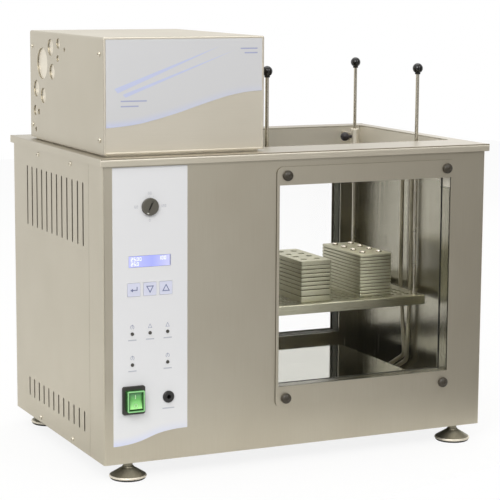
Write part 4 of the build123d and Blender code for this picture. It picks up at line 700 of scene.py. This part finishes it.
# %% [markdown]
# ## Ball knobs
# Each lift rod ends in a pressed-on phenolic ball with a short neck.
# %% Ball knobs
ball = 7.8
curve = [(ball * cos(radians(turn)), ball * sin(radians(turn))) for turn in range(-50, 90, 10)]
knob = turned("ball_knob", [(4.0, -9.0), (4.2, -8.7), (4.2, -6.2), *curve, (0, ball)], 40)
places = [((*middle_of(corners).xy, corners[1].z - ball * mm), (0, 0, 1))
          for corners in bodies_of("ball_knobs")]
keep_copies("ball_knobs_fine", knob, places, black_phenolic, "carrier", "ball_knobs")
print("knobs", len(places))

# %% [markdown]
# ## Plates on the shelf
# Two stacks of aluminium plates stand on the shelf. Each plate has a small radius along its edges, and a
# core painted dark as the shade in the grooves between the plates draws the fine lines of the stacks.
# %% Plate stacks
def slab(name, width, depth, corner, low, high, edge, inset=0.0):
    """A plate with rounded edges."""
    loops = []
    for side, level in ((1, low), (-1, high)):
        for step in range(4):
            turn = step * pi / 6 if side > 0 else pi / 2 - step * pi / 6
            loops.append(frame_loop(width, depth, corner, level + side * edge * (1 - cos(turn)),
                                    inset + edge * (1 - sin(turn)), 3))
    return skin(name, loops)


def stack_core(name, body, node, bottom, top):
    """The middle of a stack, painted dark as the shade in the grooves between its plates."""
    made = slab(name, wide, deep, 1.6, bottom, top, 0.2, recess)
    made.transform(Matrix.Translation((centre.x * mm, centre.y * mm, 0)))
    keep(name, made, [plate_groove], body, node)


low, high = (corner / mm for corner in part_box("plate_stack_left"))
wide, deep, centre = high.x - low.x, high.y - low.y, (low + high) / 2
thick, gap, recess = 9.4, 1.1, 2.0              # the two thick plates below, and the grooves
rest = 0.05                                     # a film of air under each plate
thin = (high.z - low.z - 2 * thick) / 7
levels = [low.z, low.z + thick] + [low.z + 2 * thick + thin * number for number in range(7)]
for name, size, heights in (("stack_left_thick", thick, levels[:2]),
                            ("stack_left_thin", thin, levels[2:-1])):
    places = [(Vector((*centre.xy, level)) * mm, (0, 0, 1)) for level in heights]
    plate = slab(name, wide, deep, 3.0, rest, size - gap, 0.8)
    keep_copies(name, plate, places, plate_metal, "left_stack", "plate_stack_left")
stack_core("stack_left_core", "left_stack", "plate_stack_left", low.z + gap, levels[-1] + gap)
lid = pierced("stack_left_lid", wide, deep, 3.0, thin, [(10.0, 10.0, 22.0, 26.0, 2, 4, 0.0, 0.0)],
              (0, 0, 0), (centre.x * mm, centre.y * mm, (high.z - thin) * mm), plate_metal)
keep("stack_left_lid", lid, [plate_metal], "left_stack", "plate_stack_left")
print("left stack", len(levels), "plates")

# %% The right stack, with screws in its top plate
low, high = (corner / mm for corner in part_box("plate_stack_right"))
wide, deep, centre = high.x - low.x, high.y - low.y, (low + high) / 2
even, count, head_rise = 5.05, 13, 2.6
places = [(Vector((*centre.xy, low.z + number * even)) * mm, (0, 0, 1)) for number in range(count)]
plate = slab("plate", wide, deep, 3.0, rest, even - 0.9, 0.7)
keep_copies("stack_right_plates", plate, places, plate_metal, "right_stack", "plate_stack_right")
stack_core("stack_right_core", "right_stack", "plate_stack_right", low.z + 0.4, high.z - head_rise - 1.2)
head = turned("plate_screw", [(5.0, -0.8), (5.0, 0.5), (4.6, 1.4), (3.4, 2.2), (1.6, 2.6), (0, 2.65)], 24)
places = [(((centre.x + x) * mm, (centre.y + y) * mm, (high.z - head_rise) * mm), (0, 0, 1))
          for x in (-14, 14) for y in (-45, -15, 15, 45)]
keep_copies("stack_right_screws", head, places, polished_bar, "right_stack", "plate_stack_right")
print("right stack", count, "plates and", len(places), "screws")

# %% [markdown]
# ## Heater rods and the rod clamp
# Each side heater is one tube that follows a bent path. A node tree rounds the corners of a line and
# sweeps a circle along it. The clamp is a sleeve round one lift rod, on an arm from the tank's wall.
# %% Heater rods
tube, given = group("bent_tube", [("Bend", "Float"), ("Radius", "Float"), ("Finish", "Material")])
line = add(tube, "GeometryNodeMeshToCurve", {0: given["Geometry"]})
bent = add(tube, "GeometryNodeFilletCurve", {
    "Curve": line, "Count": 8, "Radius": given["Bend"]}, mode="POLY")
ring = add(tube, "GeometryNodeCurvePrimitiveCircle", {"Resolution": 20, "Radius": given["Radius"]})
swept = add(tube, "GeometryNodeCurveToMesh", {
    "Curve": bent, "Profile Curve": ring, "Fill Caps": True})
end(tube, swept, given["Finish"])

low, high = (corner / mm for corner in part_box("side_heaters"))
sheath, apart, close, lean, foot_run, foot_drop = 3.25, 30.0, 7.5, 16.0, 58.0, 34.0
straight, knee = 218, 336                       # from the top down to the first and the second bend
at_x, front_y = high.x - sheath, low.y + sheath
for name, top_y, turn_y, sink in (("back", front_y + apart, front_y + apart - lean, 0.0),
                                  ("front", front_y, front_y + apart - lean - close, close)):
    path = [(at_x, top_y, high.z), (at_x, top_y, high.z - straight), (at_x, turn_y, high.z - knee - sink),
            (at_x - 5, turn_y + foot_run, high.z - knee - foot_drop - sink)]
    route = bpy.data.meshes.new(name)
    route.from_pydata([Vector(point) * mm for point in path], [(0, 1), (1, 2), (2, 3)], [])
    rod = grow(f"side_heater_{name}", route, tube, {"Bend": 12 * mm, "Radius": sheath * mm,
                                                    "Finish": heater_sheath})
    keep(f"side_heater_{name}", crisp(rod, 50), [heater_sheath], "cabinet", "side_heaters")
print("heater rods: 2, faces each", len(rod.polygons))

# %% Rod clamp
low, high = (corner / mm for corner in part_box("rod_clamp"))
rod_x, rod_y, tall = (low.x + high.x) / 2, low.y + 5.4, high.z - low.z
sleeve = [(2.9, 0), (6.0, 0), (6.6, 0.6), (6.6, tall - 0.6), (6.0, tall), (2.9, tall), (2.9, 0)]
sleeve = skin("rod_clamp_sleeve", [[point + Vector((rod_x, rod_y, low.z)) for point in circle(r, z)]
                                   for r, z in sleeve], ring=True)
arm_start = rod_y + 6
arm = slab("rod_clamp_arm", 5, high.y - arm_start, 1.5, low.z + 5, high.z - 7, 0.8)
arm.transform(Matrix.Translation((rod_x * mm, (arm_start + high.y) / 2 * mm, 0)))
# The sleeve's bright sheet is partly a painted highlight.
keep("rod_clamp_sleeve", sleeve, [ground_sheet], "cabinet", "rod_clamp")
keep("rod_clamp_arm", arm, [satin_level], "cabinet", "rod_clamp")
print("clamp at", round(rod_x, 1), round(rod_y, 1))

# %% [markdown]
# ## Edges of the folded sheets
# The housing's cover ends in a rolled edge that frames its front plate, and the deck's lip has a small
# bead under its top. A fold like this stiffens the sheet and hides its sharp edge. Both are drawn as a
# section that runs along the edge, because a bevel on the whole sheet would round its other edges too.
# On the bead a painted shadow line runs along the fold, the roll below it is painted bright as a
# highlight, and its hem is a shaded copy of the same sheet, a little greyer, so each has its own finish. A
# light sheet stands behind the housing's round vents, as its inner wall does, and its pale colour is
# partly painted light.
# %% Rolled edge round the housing's front
low, high = (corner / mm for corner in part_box("head_cover"))
forward_of = -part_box("head_front_plate")[0].y / mm
profile = [(0.0, -1.5), (0.0, -0.4), (0.35, 0.25), (0.9, 0.5), (1.9, 0.5), (2.5, 0.3), (2.7, -0.1),
           (2.7, -1.5)]
rim = skin("head_front_rim", [frame_loop(high.x - low.x, high.z - low.z, 1.5, forward_of + rise, inset)
                              for inset, rise in profile + profile[:1]], ring=True)
centre = middle_of((low, high))
rim.transform(Matrix.Translation((centre.x * mm, 0, centre.z * mm)) @ Matrix.Rotation(pi / 2, 4, "X"))
# The rim's bright sheet is partly a painted highlight along its roll.
keep("head_front_rim", rim, [ground_sheet])
print("rim faces", len(rim.polygons))

# %% Bead along the deck's lip
low, high = (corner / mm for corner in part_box("deck"))
section = [(-0.4, -10.2), (0.1, -10.2), (0.1, -3.7), (0.45, -3.3), (0.5, -2.3), (0.2, -1.6),
           (0.05, -1.4), (0.05, -0.5), (-0.4, 0.05), (-1.6, 0.1), (-1.6, -0.6)]
# Bands from the top: the fold's painted shadow line, the roll painted bright as a highlight, then the
# shaded hem.
fold_end, hem_start = 1.5, 3.8                  # below the top: the dark fold ends, the hem starts
for name, front in (("front", low.y), ("back", high.y)):
    out = 1 if front > 0 else -1
    hem = skin(f"deck_bead_{name}", [
        [Vector((x, front + out * step, high.z + rise)) for step, rise in section]
        for x in (low.x + 0.1, high.x - 0.1)])
    for face in hem.polygons:
        below = high.z - face.center.z / mm
        if abs(face.normal.x) < 0.5:
            face.material_index = 1 if below < fold_end else 2 if below > hem_start else 0
    keep(f"deck_bead_{name}", hem, [ground_sheet, fold_line, hem_sheet])
print("bead faces", len(hem.polygons))

# %% Backing behind the vents
low, high = (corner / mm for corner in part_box("head_cover"))
backing = slab("head_vent_backing", high.y - low.y - 20, high.z - low.z - 16, 3, 0, 0.5, 0.1)
centre = middle_of((low, high))
backing.transform(Matrix.Translation(((low.x + 1.9) * mm, centre.y * mm, centre.z * mm))
                  @ Matrix.Rotation(pi / 2, 4, "Z") @ Matrix.Rotation(pi / 2, 4, "X"))
# The backing's bright sheet is partly painted light inside the housing.
keep("head_vent_backing", backing, [ground_sheet])
print("backing from x", round(min(v.co.x for v in backing.vertices), 4))

# %% [markdown]
# ## The housing's label
# The film's lower edge is a long soft wave. The curve that places the printed band is asked for the
# height of the edge at each step, so the outline and the print can't drift apart.
# %% Label on the housing
low, high = (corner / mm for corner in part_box("head_label"))
wave = next(node for node in head_film.node_tree.nodes if node.bl_idname == "ShaderNodeFloatCurve").mapping
wave.initialize()
columns = 48
loops = []
for step in range(columns + 1):
    x = low.x + (high.x - low.x) * step / columns
    z = (label_low + label_rise * wave.evaluate(wave.curves[0], step / columns)) / mm
    loops.append([Vector((x, *corner)) for corner in
                  ((low.y, z), (low.y, high.z), (high.y, high.z), (high.y, z))])
label = skin("head_label_fine", loops)
keep("head_label_fine", label, [head_film], "cabinet", "head_label")
print("label faces", len(label.polygons))

# %% [markdown]
# ## Levelling feet
# A foot is a pressed steel cone with a rolled rim, a threaded stem in its neck and a rubber pad under
# it. The thread itself is hidden in the bush.
# %% Feet
pad_and_rim = [(0, 0.0), (23.6, 0.0), (24.6, 0.8), (24.6, 2.6), (25.2, 2.6), (26.0, 3.1), (26.0, 4.6),
               (25.3, 5.6), (24.6, 5.9)]
cone_and_stem = [(23.6, 6.6), (9.2, 15.6), (8.2, 16.4), (7.8, 17.4), (6.5, 18.0), (6.5, 23.2),
                 (5.0, 23.5), (5.0, 39.2), (0, 39.2)]
# The rolled rim of each foot takes the bright sheet: a painted highlight along it.
pad, rim, cone = [1] * 3, [2] * 5, [0] * 9      # the finish of each band from the floor up
foot = turned("foot", pad_and_rim + cone_and_stem, 64, pad + rim + cone)
for name, body in (("front_left", "foot_fl"), ("front_right", "foot_fr"), ("back_left", "foot_bl"),
                   ("back_right", "foot_br")):
    low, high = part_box(f"foot_{name}")
    copy = foot.copy()
    copy.transform(Matrix.Translation(((low.x + high.x) / 2, (low.y + high.y) / 2, low.z)))
    keep(f"foot_{name}_fine", copy, [foot_steel, rubber, ground_sheet], body, f"foot_{name}")
print("feet 4, faces each", len(foot.polygons))

# %% [markdown]
# ## Print
# Everything printed is drawn with short strokes laid on the surface: scale numbers round the dial,
# a picture and a bar by each lamp, the arrows on the keys, the marks on the switch and the figures on
# the display. A ray from the front finds how deep the surface lies under each stroke.
# %% Strokes laid on a surface
digit_strokes = {
    "0": "abcdef", "1": "bc", "2": "abged", "3": "abgcd", "4": "fgbc", "5": "afgcd", "6": "afgedc",
    "7": "abc", "8": "abcdefg", "9": "gfabcd",
}
digit_lines = {
    "a": ((0, 1), (0.5, 1)), "b": ((0.5, 1), (0.5, 0.5)), "c": ((0.5, 0.5), (0.5, 0)),
    "d": ((0, 0), (0.5, 0)), "e": ((0, 0.5), (0, 0)), "f": ((0, 1), (0, 0.5)), "g": ((0, 0.5), (0.5, 0.5)),
}


def figures(text, x, z, tall):
    """Lines of a number whose lower left corner is at x, z."""
    lines = []
    for letter in text:
        if letter == ".":
            lines.append(((x - tall * 0.08, z), (x - tall * 0.07, z)))
            x += tall * 0.12
            continue
        for stroke in digit_strokes[letter]:
            lines.append(tuple((x + tall * across, z + tall * up) for across, up in digit_lines[stroke]))
        x += tall * 0.95
    return lines


print("strokes in a 25.0:", len(figures("25.0", 0, 0, 1)))

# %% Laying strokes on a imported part
def print_on(name, node, lines, width, finish, body="cabinet", lift=0.06, fills=()):
    """Lay lines and filled outlines, lists of (x, z) in millimetres, on the front of a part."""
    tree = BVHTree.FromPolygons([v.co for v in nodes[node].data.vertices],
                                [p.vertices for p in nodes[node].data.polygons])
    points, faces = [], []
    outlines = [list(outline) for outline in fills]
    for line in lines:
        for start, end in zip(line, line[1:]):
            along = Vector((end[0] - start[0], end[1] - start[1])).normalized() * width / 2
            aside = Vector((-along.y, along.x))
            a, b = Vector(start) - along, Vector(end) + along
            outlines.append([a - aside, b - aside, b + aside, a + aside])
    for outline in outlines:
        first = len(points)
        for x, z in outline:
            hit = tree.ray_cast(Vector((x * mm, -0.3, z * mm)), Vector((0, 1, 0)))[0]
            depth = hit.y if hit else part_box(node)[0].y
            points.append((x * mm, depth - lift * mm, z * mm))
        faces.append(tuple(range(first, first + len(outline))))
    made = bpy.data.meshes.new(name)
    made.from_pydata(points, [], faces)
    return keep(name, made, [finish], body)


def disc(x, z, radius, sides=16):
    """Outline of a round spot."""
    turns = [2 * pi * step / sides for step in range(sides)]
    return [(x + radius * cos(turn), z + radius * sin(turn)) for turn in turns]


def arc(x, z, radius, start, end, steps=10):
    """A curved line, its ends in degrees from the right."""
    turns = [radians(start + (end - start) * step / steps) for step in range(steps + 1)]
    return [(x + radius * cos(turn), z + radius * sin(turn)) for turn in turns]


print("strokes ready")

# %% Dial scale, lamp pictures and bars
dial = middle_of(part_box("safety_dial")) / mm
scale = []
for text, x, z in (("90", -2.3, 16.6), ("60", -22.0, -1.4), ("120", 16.0, -1.4), ("0", -0.9, -20.4)):
    scale += figures(text, dial.x + x, dial.z + z, 3.2)
ticks = [[(dial.x + r * cos(t), dial.z + r * sin(t)) for r in (13.4, 14.6)]
         for t in [radians(-135 + 22.5 * step) for step in range(13) if step % 4]]
print_on("dial_scale", "control_label", scale + ticks, 0.4, grey_ink)

lamps = [middle_of(corners) / mm for corners in bodies_of("indicator_lamps")]
pictures, bars = [], []
for number, lamp in enumerate(lamps):
    x, z = lamp.x, lamp.z + 9.5
    if number % 2:
        pictures += [[(x - 2.6, z - 2.4), (x + 2.6, z - 2.4), (x, z + 2.8), (x - 2.6, z - 2.4)]]
    else:
        pictures += [arc(x, z, 2.6, -60, 240), [(x, z - 1.2), (x, z + 3.4)]]
    bars += [[(x - 5.2, lamp.z - 8.6), (x + 5.2, lamp.z - 8.6)]]
print_on("lamp_pictures", "control_label", pictures, 0.5, ink)
print_on("lamp_bars", "control_label", bars, 1.7, grey_ink)
socket_at = middle_of(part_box("accessory_socket")) / mm
bar = [(socket_at.x - 8, socket_at.z - 16), (socket_at.x + 8, socket_at.z - 16)]
print_on("socket_bar", "control_label", [bar], 1.7, grey_ink)
print("lamps", len(lamps))

# %% Key arrows
keys = {name: middle_of(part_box(name)) / mm for name in nodes if name.startswith("key")}
print("keys", {name: [round(c, 1) for c in spot] for name, spot in keys.items()})
for name, spot in keys.items():
    x, z = spot.x, spot.z
    if "enter" in name:
        lines = [[(x + 4.6, z + 3.4), (x + 4.6, z - 0.6), (x - 2.0, z - 0.6)]]
        solid = [[(x - 5.4, z - 0.6), (x - 1.4, z - 3.2), (x - 1.4, z + 2.0)]]
    else:
        up = 1 if "up" in name else -1
        lines = [[(x - 4.6, z - up * 3.8), (x + 4.6, z - up * 3.8), (x, z + up * 4.6),
                  (x - 4.6, z - up * 3.8)]]
        solid = []
    print_on(f"{name}_print", name, lines, 1.3, ink, name, fills=solid)

# %% Display figures
window_left, window_right, window_low, window_high = -263.1, -201.9, 296.5, 311.5
text = figures("25.00", window_left + 3.5, window_low + 8.8, 4.2)
text += figures("25.0", window_left + 3.5, window_low + 2.0, 4.2)
text += figures("100", window_right - 17.0, window_low + 8.8, 4.2)
lit = moulded("lit_figures", "#F2F4FF", 0.4, relief=0.0, Emission_Strength=0.5,
              Emission_Color=colour("#F2F4FF"))
print_on("display_figures", "display_module", text, 0.6, lit)
edge = [(window_right - 0.8, window_low + 1), (window_right - 0.8, window_high - 1)]
print_on("display_edge", "display_module", [edge], 0.9, ink)
print("display strokes", len(text))

# %% Marks on the switch, painted shade in the dial's slot and a painted glint on the dial
spot = middle_of(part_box("power_rocker")) / mm
mark = moulded("switch_marks", "#D8F5C8", 0.4, relief=0.0)
print_on("switch_marks", "power_rocker", [[(spot.x, spot.z + 8.6), (spot.x, spot.z + 3.6)],
                                          arc(spot.x, spot.z - 6.0, 2.2, 0, 360, 16)], 0.9, mark, "rocker")
slot_dark = moulded("dial_slot_shade", "#151412", 0.8, relief=0.0)
turn = radians(25)
slot = [(dial.x + reach * sin(turn), dial.z + reach * cos(turn)) for reach in (-3.6, 4.6)]
print_on("dial_slot", "safety_dial", [slot], 1.8, slot_dark, "dial", lift=0.15)
# A white spot at the dial's lower left: a painted glint on a small screw head.
dot = disc(dial.x - 3.7, dial.z - 8.4, 1.4)
print_on("dial_dot", "safety_dial", [], 1, white_moulding, "dial", fills=[dot])
print("dial at", round(dial.x, 1), round(dial.z, 1))

# %% Stripes and plain bars on the housing's label
low, high = (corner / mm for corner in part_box("head_label"))
wedges = [[(low.x + 12, high.z - 66), (low.x + 17, high.z - 72), (low.x + 168, high.z - 10)],
          [(low.x + 24, high.z - 74), (low.x + 28, high.z - 78), (low.x + 190, high.z - 16)]]
print_on("head_stripes", "head_label", [], 1, pale_ink, fills=wedges)
notes = [[(high.x - width, high.z - drop), (high.x - 8, high.z - drop)]
         for width, drop in ((32, 14), (26, 20))]
notes += [[(low.x + 22, low.z + up), (low.x + width, low.z + up)] for width, up in ((58, 36), (46, 29))]
print_on("head_notes", "head_label", notes, 1.8, soft_ink)
print("bars", len(notes))

# %% [markdown]
# ## Camera
# The camera's place, turn and lens were worked out from the straight edges of the cabinet and from the
# size of the parts on it.
# %% Camera at the photographer's place
yaw, pitch, roll = radians(25.1196), radians(8.7122), radians(0.3375)
forward = Vector((sin(yaw) * cos(pitch), cos(yaw) * cos(pitch), -sin(pitch)))
side = Vector((cos(yaw), -sin(yaw), 0))
up = side.cross(forward)
side, up = side * cos(roll) + up * sin(roll), up * cos(roll) - side * sin(roll)
camera = bpy.data.objects.new("camera", bpy.data.cameras.new("camera"))
camera.data.sensor_width, camera.data.lens = 36, 131.146
camera.matrix_world = Matrix.Translation((-1.14813, -2.46613, 0.69489)) @ Matrix(
    (side, up, -forward)).transposed().to_4x4()
scene.collection.objects.link(camera)
scene.camera = camera
print("lens", camera.data.lens)

# %% [markdown]
# ## Floor, room and lamps
# The bath stands on a white sweep in a white studio. The satin sheet mirrors what is round it: the
# bright backdrop behind on its left side, and the darker room behind the photographer on its front.
# So the world is white at the back and graded from light to dark at the front, darkest at the front
# left and lighter again above. The sweep's front edge runs close ahead of the cabinet, which is why
# the front panel is lighter near its foot, and sheet that faces right mirrors a dark board.
# %% Floor
floor = bpy.data.objects.new("floor", bpy.data.meshes.new("floor"))
edge = [(-3, -0.62, 0), (0.0, -0.42, 0), (0.45, -0.26, 0), (3, -0.25, 0), (3, 4, 0), (-3, 4, 0)]
floor.data.from_pydata(edge, [], [range(len(edge))])
paper, tree, shader, place = start("white_paper_sweep", "#E4E4E2", Roughness=0.9)
seen_white, mirrored_white = 0.86, 0.6          # shares of plain white where it is seen or mirrored
path = add(tree, "ShaderNodeLightPath")
glow = add(tree, "ShaderNodeEmission", {"Color": (1, 1, 1, 1), "Strength": 1.0})
straight = add(tree, "ShaderNodeMath", {
    0: path.outputs["Is Camera Ray"], 1: path.outputs["Is Transmission Ray"]}, operation="MAXIMUM")
share = add(tree, "ShaderNodeMath", {0: straight, 1: seen_white}, operation="MULTIPLY")
depth = add(tree, "ShaderNodeSeparateXYZ", {0: place})
far = add(tree, "ShaderNodeMapRange", {
    "Value": depth.outputs[1], "From Min": 0.4, "From Max": 2.0, "To Max": mirrored_white})
mirrored = add(tree, "ShaderNodeMath", {0: path.outputs["Is Glossy Ray"], 1: far},
               operation="MULTIPLY")
share = add(tree, "ShaderNodeMath", {0: share, 1: mirrored}, operation="MAXIMUM")
both = add(tree, "ShaderNodeMixShader", {0: share, 1: shader, 2: glow})
fill(tree, tree.nodes["Material Output"], {"Surface": both})
floor.data.materials.append(paper)
scene.collection.objects.link(floor)
print("floor", [round(s, 2) for s in floor.dimensions])

# %% Dark board
flag = bpy.data.objects.new("dark_board", bpy.data.meshes.new("dark_board"))
edge = [(1.1, -0.5, -0.6), (1.1, -2.3, -0.6), (1.1, -2.3, 1.3), (1.1, -0.5, 1.3)]
flag.data.from_pydata(edge, [], [range(len(edge))])
flag.data.materials.append(moulded("black_felt_board", "#66635E", 0.9, grain=3.0, relief=0.2))
flag.visible_camera = False
scene.collection.objects.link(flag)
print("board", [round(s, 2) for s in flag.dimensions])

# %% Room
room = bpy.data.worlds.new("studio")
scene.world = room
room.use_nodes = True
tree = room.node_tree
tree.nodes.clear()
toward = add(tree, "ShaderNodeSeparateXYZ", {0: add(tree, "ShaderNodeTexCoord").outputs["Generated"]})
behind = add(tree, "ShaderNodeMapRange", {"Value": toward.outputs[1], "From Min": -0.6, "From Max": 0.35},
             interpolation_type="SMOOTHSTEP")
across = add(tree, "ShaderNodeMapRange", {"Value": toward.outputs[0], "From Min": -1.0})
front = add(tree, "ShaderNodeValToRGB", {"Fac": across})
front.color_ramp.interpolation = "EASE"
ramp = front.color_ramp.elements
ramp[0].color, ramp[1].color = (1.0, 1.0, 1.0, 1.0), (0.3, 0.3, 0.3, 1.0)
for spot, grey in ((-0.8, 0.9), (-0.62, 0.15), (-0.5, 0.05), (-0.28, 0.05), (0.0, 0.6), (0.2, 0.86),
                   (0.45, 0.55), (0.7, 0.40)):      # the shade of the room from left to right
    ramp.new((spot + 1) / 2).color = (grey, grey, grey, 1.0)
back = add(tree, "ShaderNodeMapRange", {
    "Value": toward.outputs[0], "From Min": -0.9, "From Max": 0.3, "To Min": 1.06, "To Max": 1.0})
above = add(tree, "ShaderNodeMapRange", {"Value": toward.outputs[2], "From Min": 0.05, "From Max": 0.5},
            interpolation_type="SMOOTHSTEP")
front = add(tree, "ShaderNodeMix", {"Factor": above, 2: front, 3: 0.82})
tone = add(tree, "ShaderNodeMix", {"Factor": behind, 2: front, 3: back})
path = add(tree, "ShaderNodeLightPath")
glazed = add(tree, "ShaderNodeMath", {0: path.outputs["Is Transmission Ray"], 1: behind},
             operation="MULTIPLY")
seen = add(tree, "ShaderNodeMath", {0: path.outputs["Is Camera Ray"], 1: glazed},
           operation="MAXIMUM")
strength = add(tree, "ShaderNodeMix", {"Factor": seen, 2: tone, 3: 1.0})
sky = add(tree, "ShaderNodeBackground", {"Color": (1, 1, 1, 1), "Strength": strength})
add(tree, "ShaderNodeOutputWorld", {"Surface": sky})
scene.view_settings.view_transform = "Standard"
print("world", room.name)

# %% Lamps
def softbox(name, place, aim, size, power):
    """A square soft lamp that faces a point."""
    lamp = bpy.data.lights.new(name, "AREA")
    lamp.size, lamp.energy = size, power
    holder = bpy.data.objects.new(name, lamp)
    holder.location = place
    holder.rotation_euler = (Vector(aim) - Vector(place)).to_track_quat("-Z", "Y").to_euler()
    scene.collection.objects.link(holder)
    return holder


middle = (0, 0, 0.3)
softbox("key", (-1.5, -1.9, 1.9), middle, 1.4, 38)
softbox("side", (0.9, -2.2, 1.9), middle, 1.2, 14)
softbox("top", (0.2, 0.4, 2.3), middle, 1.8, 13)
softbox("fill", (2.0, 1.6, 1.2), middle, 1.6, 4)
